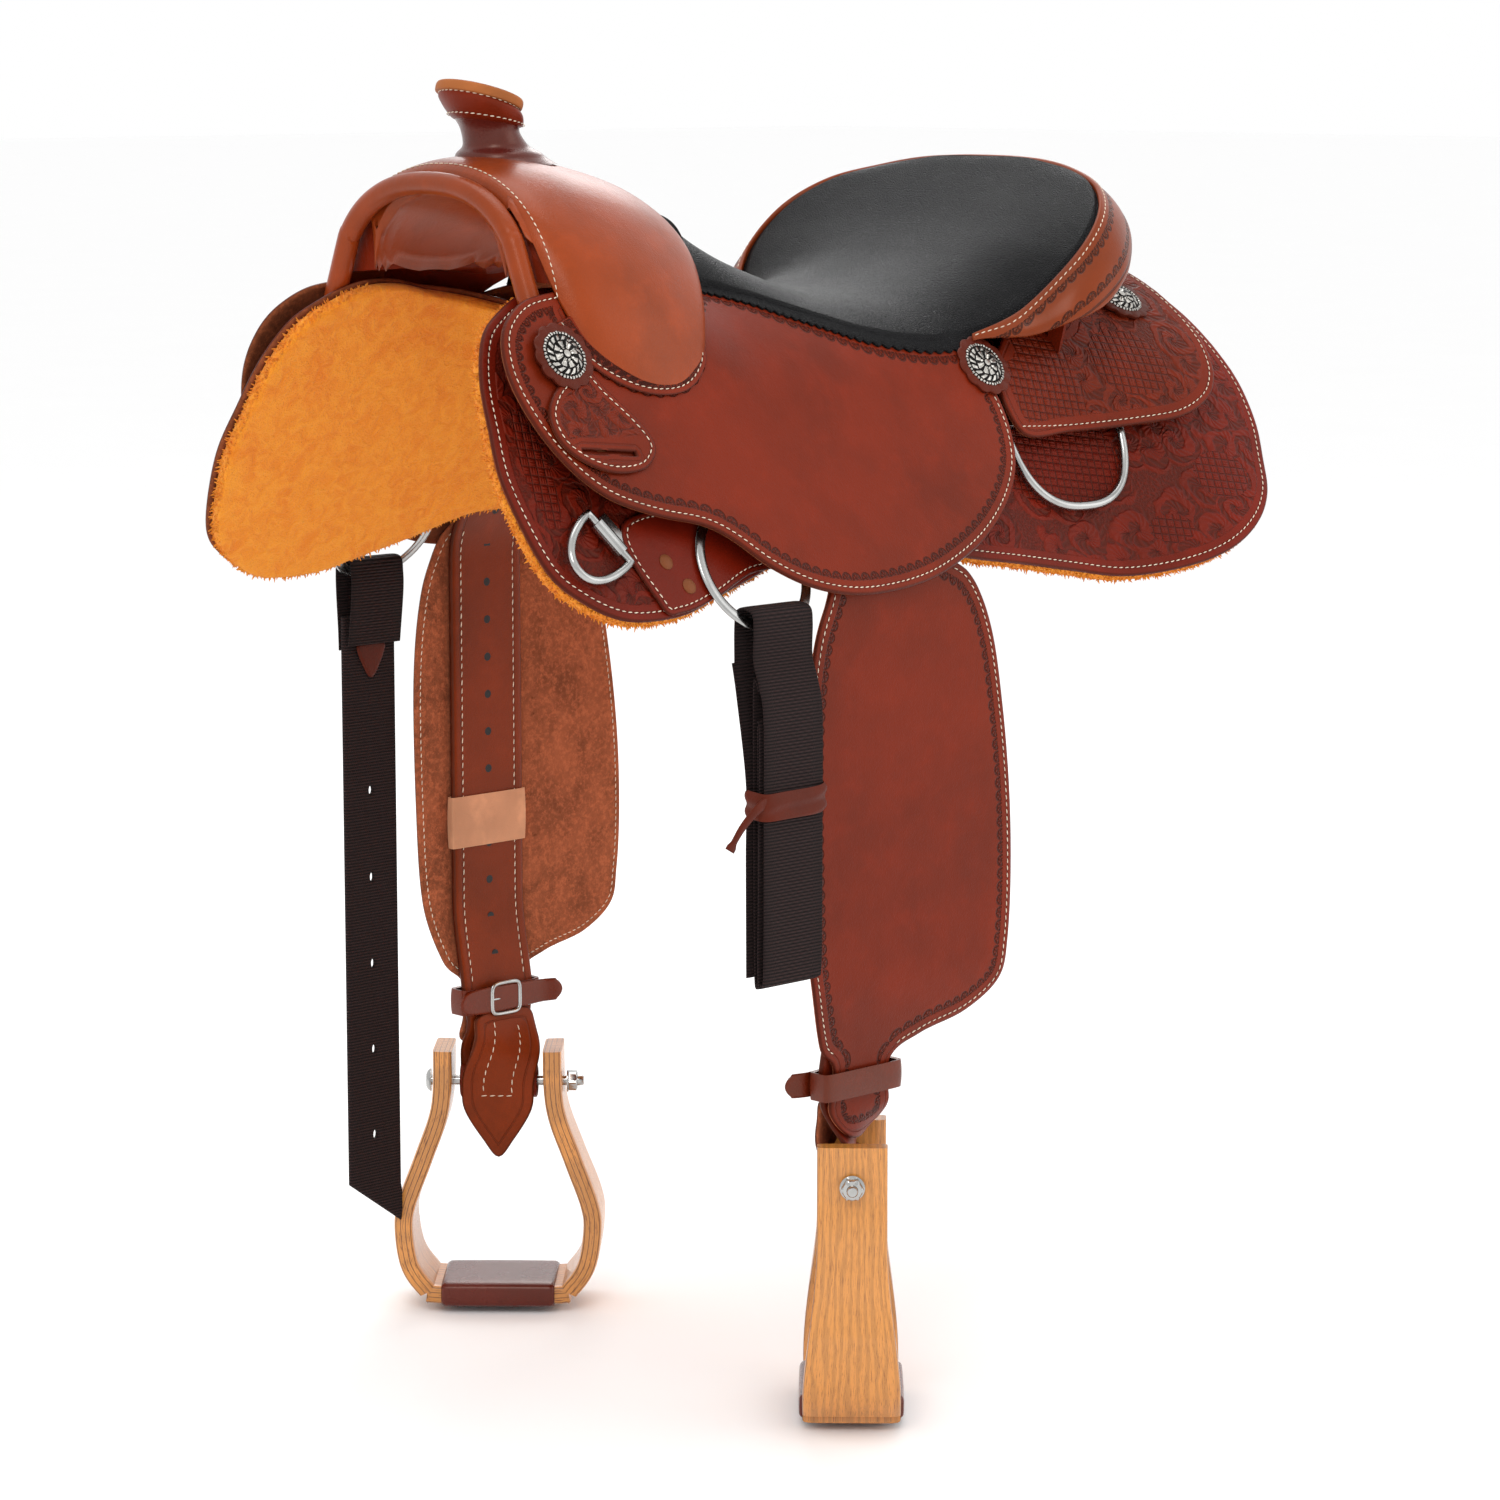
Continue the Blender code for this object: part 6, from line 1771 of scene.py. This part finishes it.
def dees(side, hand):
    """Rear dee of round wire, and the breast collar's dee in its clip."""
    lift = top_of(SKIRT) + 3.4 + 2.4
    places = [mirrored(on_side(x, v, lift), hand) for x, v in ((107, 98), (217, 98), (162, 166))]
    across = (places[1] - places[0]).normalized()
    middle = (places[0] + places[1]) / 2
    fall = places[2] - middle
    fall = (fall - across * fall.dot(across)).normalized()
    wire(side + "rear_dee_steel",
         [middle + across * x - fall * y for x, y in dee(55.0, 68.0, 2.5)], 3.4, "steel",
         [side + "rear_dee"], body=side + "back_dee", slot="steel", resolution=8)
    lift = top_of(SKIRT) + 0.4 + 5.2
    start, end = (mirrored(on_side(x, v, lift), hand) for x, v in ((-316.0, 141.0),
                                                                   (-300.0, 168.0)))
    middle = (start + end) / 2
    along = (end - start).normalized()
    ahead = along.cross(Vector((0, math.cos(LEAN) * hand, math.sin(LEAN)))).normalized()
    if ahead.x > 0:
        ahead = -ahead
    wire(side + "breast_dee_steel",
         [middle + along * x - ahead * y for x, y in dee(22.0, 42.0, 2.2)], 3.0, "steel",
         [side + "breast_dee"], body=side + "front_dee", slot="steel", resolution=8)


def dress_hidden():
    """Gives the CAD solids that stay their finishes."""
    kept = {"timber": ["ground_seat"],
            "loose": ["tree_cantle", "tree_fork", "near_tree_bar", "off_tree_bar"],
            "steel": ["near_breast_dee_clip", "off_breast_dee_clip", "horn_core"]}
    for look, names in kept.items():
        for name in names:
            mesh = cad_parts[name].data
            mesh.materials.clear()
            mesh.materials.append(finishes()[look])


def add_lamp(name, place, size, power):
    """A square lamp that faces the saddle."""
    bpy.ops.object.light_add(type="AREA", location=place)
    light = bpy.context.active_object
    light.name = name
    light.data.size, light.data.energy = size, power
    light.rotation_mode = "QUATERNION"
    light.rotation_quaternion = (Vector((0, 0, -0.3)) - Vector(place)).to_track_quat("-Z", "Y")


def add_stage():
    """Pale floor, soft light from the left and above, and the photograph's camera."""
    scene = bpy.context.scene
    view = scene.saddle_view
    release()
    bpy.ops.mesh.primitive_plane_add(size=80.0, location=(0, 0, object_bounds()[0].z - 0.004))
    floor = bpy.context.active_object
    floor.name = "floor"
    look = Look("floor")
    tone = look.mix(look.noise(3.0, 3.0), (254, 254, 254), (252, 252, 252))
    floor.data.materials.append(look.done(tone, 0.9))
    floor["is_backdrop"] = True
    world = bpy.data.worlds.new("studio")
    world.use_nodes = True
    world.node_tree.nodes["Background"].inputs[0].default_value = (1, 1, 1, 1)
    world.node_tree.nodes["Background"].inputs[1].default_value = view.sky
    scene.world = world
    for name, place, size, power in LAMPS:
        add_lamp(name, place, size, power * view.lights)
    azimuth, elevation = math.radians(view.azimuth), math.radians(view.elevation)
    back = Vector((math.sin(azimuth) * math.cos(elevation),
                   -math.cos(azimuth) * math.cos(elevation), math.sin(elevation)))
    bpy.ops.object.camera_add(location=Vector((0, 0, view.aim)) + back * view.distance)
    camera = bpy.context.active_object
    camera.name = "photo_camera"
    camera.rotation_mode = "QUATERNION"
    camera.rotation_quaternion = (-back).to_track_quat("-Z", "Y")
    camera.data.lens = view.lens
    camera.data.sensor_width = 36.0
    scene.camera = camera
    scene.view_settings.view_transform = "Standard"


class SaddleColours(bpy.types.PropertyGroup):
    leather: FloatVectorProperty(name="Leather", description="Jockeys and fenders, as sRGB",
                                 subtype="COLOR", default=(0.45, 0.126, 0.038), min=0, max=1)
    cover: FloatVectorProperty(name="Cover", description="Fork and cantle roll, as sRGB",
                               subtype="COLOR", default=(0.565, 0.225, 0.075), min=0, max=1)
    skirting: FloatVectorProperty(name="Skirting", description="Skirts and rigging, as sRGB",
                                  subtype="COLOR", default=(0.43, 0.09, 0.03), min=0, max=1)


class SaddleView(bpy.types.PropertyGroup):
    azimuth: FloatProperty(name="Azimuth", description="Degrees round the saddle", default=-44.0)
    elevation: FloatProperty(name="Elevation", description="Degrees above the level", default=9.0)
    distance: FloatProperty(name="Distance", description="From the aim to the camera",
                            default=3.308, unit="LENGTH")
    aim: FloatProperty(name="Aim", description="Height of the point looked at", default=-0.325,
                       unit="LENGTH")
    lens: FloatProperty(name="Lens", description="Focal length in millimetres", default=105.6)
    sky: FloatProperty(name="Sky", description="Strength of the even light", default=1.0)
    lights: FloatProperty(name="Lights", description="Factor on all lamps", default=0.5)


class SADDLE_OT_skirts(bpy.types.Operator):
    """Skirts, shearling and rigging plates"""
    bl_idname = "saddle.skirts"
    bl_label = "Skirts"
    bl_options = {"REGISTER", "UNDO"}

    def execute(self, context):
        add_skirts()
        return {"FINISHED"}


class SADDLE_OT_jockeys(bpy.types.Operator):
    """Seat and rear jockeys, tabs and conchos"""
    bl_idname = "saddle.jockeys"
    bl_label = "Jockeys"
    bl_options = {"REGISTER", "UNDO"}

    def execute(self, context):
        add_jockeys()
        return {"FINISHED"}


class SADDLE_OT_fork(bpy.types.Operator):
    """Fork cover, its binding and the horn"""
    bl_idname = "saddle.fork"
    bl_label = "Fork and Horn"
    bl_options = {"REGISTER", "UNDO"}

    def execute(self, context):
        add_fork()
        return {"FINISHED"}


class SADDLE_OT_seat(bpy.types.Operator):
    """Padded seat and its pinked edge"""
    bl_idname = "saddle.seat"
    bl_label = "Seat"
    bl_options = {"REGISTER", "UNDO"}

    def execute(self, context):
        add_seat()
        return {"FINISHED"}


class SADDLE_OT_cantle(bpy.types.Operator):
    """Stamped roll round the cantle"""
    bl_idname = "saddle.cantle"
    bl_label = "Cantle"
    bl_options = {"REGISTER", "UNDO"}

    def execute(self, context):
        add_cantle()
        return {"FINISHED"}


class SADDLE_OT_straps(bpy.types.Operator):
    """Stirrup leathers, fenders, sleeves and hobbles"""
    bl_idname = "saddle.straps"
    bl_label = "Straps"
    bl_options = {"REGISTER", "UNDO"}

    def execute(self, context):
        add_straps()
        return {"FINISHED"}


class SADDLE_OT_stirrups(bpy.types.Operator):
    """Laminated bows, treads and bolts"""
    bl_idname = "saddle.stirrups"
    bl_label = "Stirrups"
    bl_options = {"REGISTER", "UNDO"}

    def execute(self, context):
        add_stirrups()
        return {"FINISHED"}


class SADDLE_OT_rigging(bpy.types.Operator):
    """Rings, dees, latigo and billet"""
    bl_idname = "saddle.rigging"
    bl_label = "Rigging"
    bl_options = {"REGISTER", "UNDO"}

    def execute(self, context):
        add_rigging()
        return {"FINISHED"}


class SADDLE_OT_kept(bpy.types.Operator):
    """Finishes of the solids that stay"""
    bl_idname = "saddle.kept"
    bl_label = "Kept Solids"
    bl_options = {"REGISTER", "UNDO"}

    def execute(self, context):
        dress_hidden()
        return {"FINISHED"}


class SADDLE_OT_stage(bpy.types.Operator):
    """Floor, lights and the photograph's camera"""
    bl_idname = "saddle.stage"
    bl_label = "Stage"

    def execute(self, context):
        add_stage()
        return {"FINISHED"}


class SADDLE_PT_panel(bpy.types.Panel):
    """Lists the steps that dress the saddle"""
    bl_label = "Saddle"
    bl_idname = "SADDLE_PT_panel"
    bl_space_type = "VIEW_3D"
    bl_region_type = "UI"
    bl_category = "Saddle"

    def draw(self, context):
        for key in ("leather", "cover", "skirting"):
            self.layout.prop(context.scene.saddle_colours, key)
        for key in ("azimuth", "elevation", "distance", "aim", "lens", "sky", "lights"):
            self.layout.prop(context.scene.saddle_view, key)
        for operator in OPERATORS:
            self.layout.operator(operator.bl_idname)


OPERATORS = [SADDLE_OT_skirts, SADDLE_OT_jockeys, SADDLE_OT_fork, SADDLE_OT_seat,
             SADDLE_OT_cantle, SADDLE_OT_straps, SADDLE_OT_stirrups, SADDLE_OT_rigging,
             SADDLE_OT_kept, SADDLE_OT_stage]
CLASSES = [SaddleColours, SaddleView, *OPERATORS, SADDLE_PT_panel]


def register():
    for item in CLASSES:
        bpy.utils.register_class(item)
    bpy.types.Scene.saddle_colours = PointerProperty(type=SaddleColours)
    bpy.types.Scene.saddle_view = PointerProperty(type=SaddleView)


def unregister():
    del bpy.types.Scene.saddle_view
    del bpy.types.Scene.saddle_colours
    for item in reversed(CLASSES):
        bpy.utils.unregister_class(item)


def main():
    register()
    bpy.ops.saddle.stage()
    bpy.ops.saddle.skirts()
    bpy.ops.saddle.jockeys()
    bpy.ops.saddle.fork()
    bpy.ops.saddle.seat()
    bpy.ops.saddle.cantle()
    bpy.ops.saddle.straps()
    bpy.ops.saddle.stirrups()
    bpy.ops.saddle.rigging()
    bpy.ops.saddle.kept()


if __name__ == "__main__":
    main()
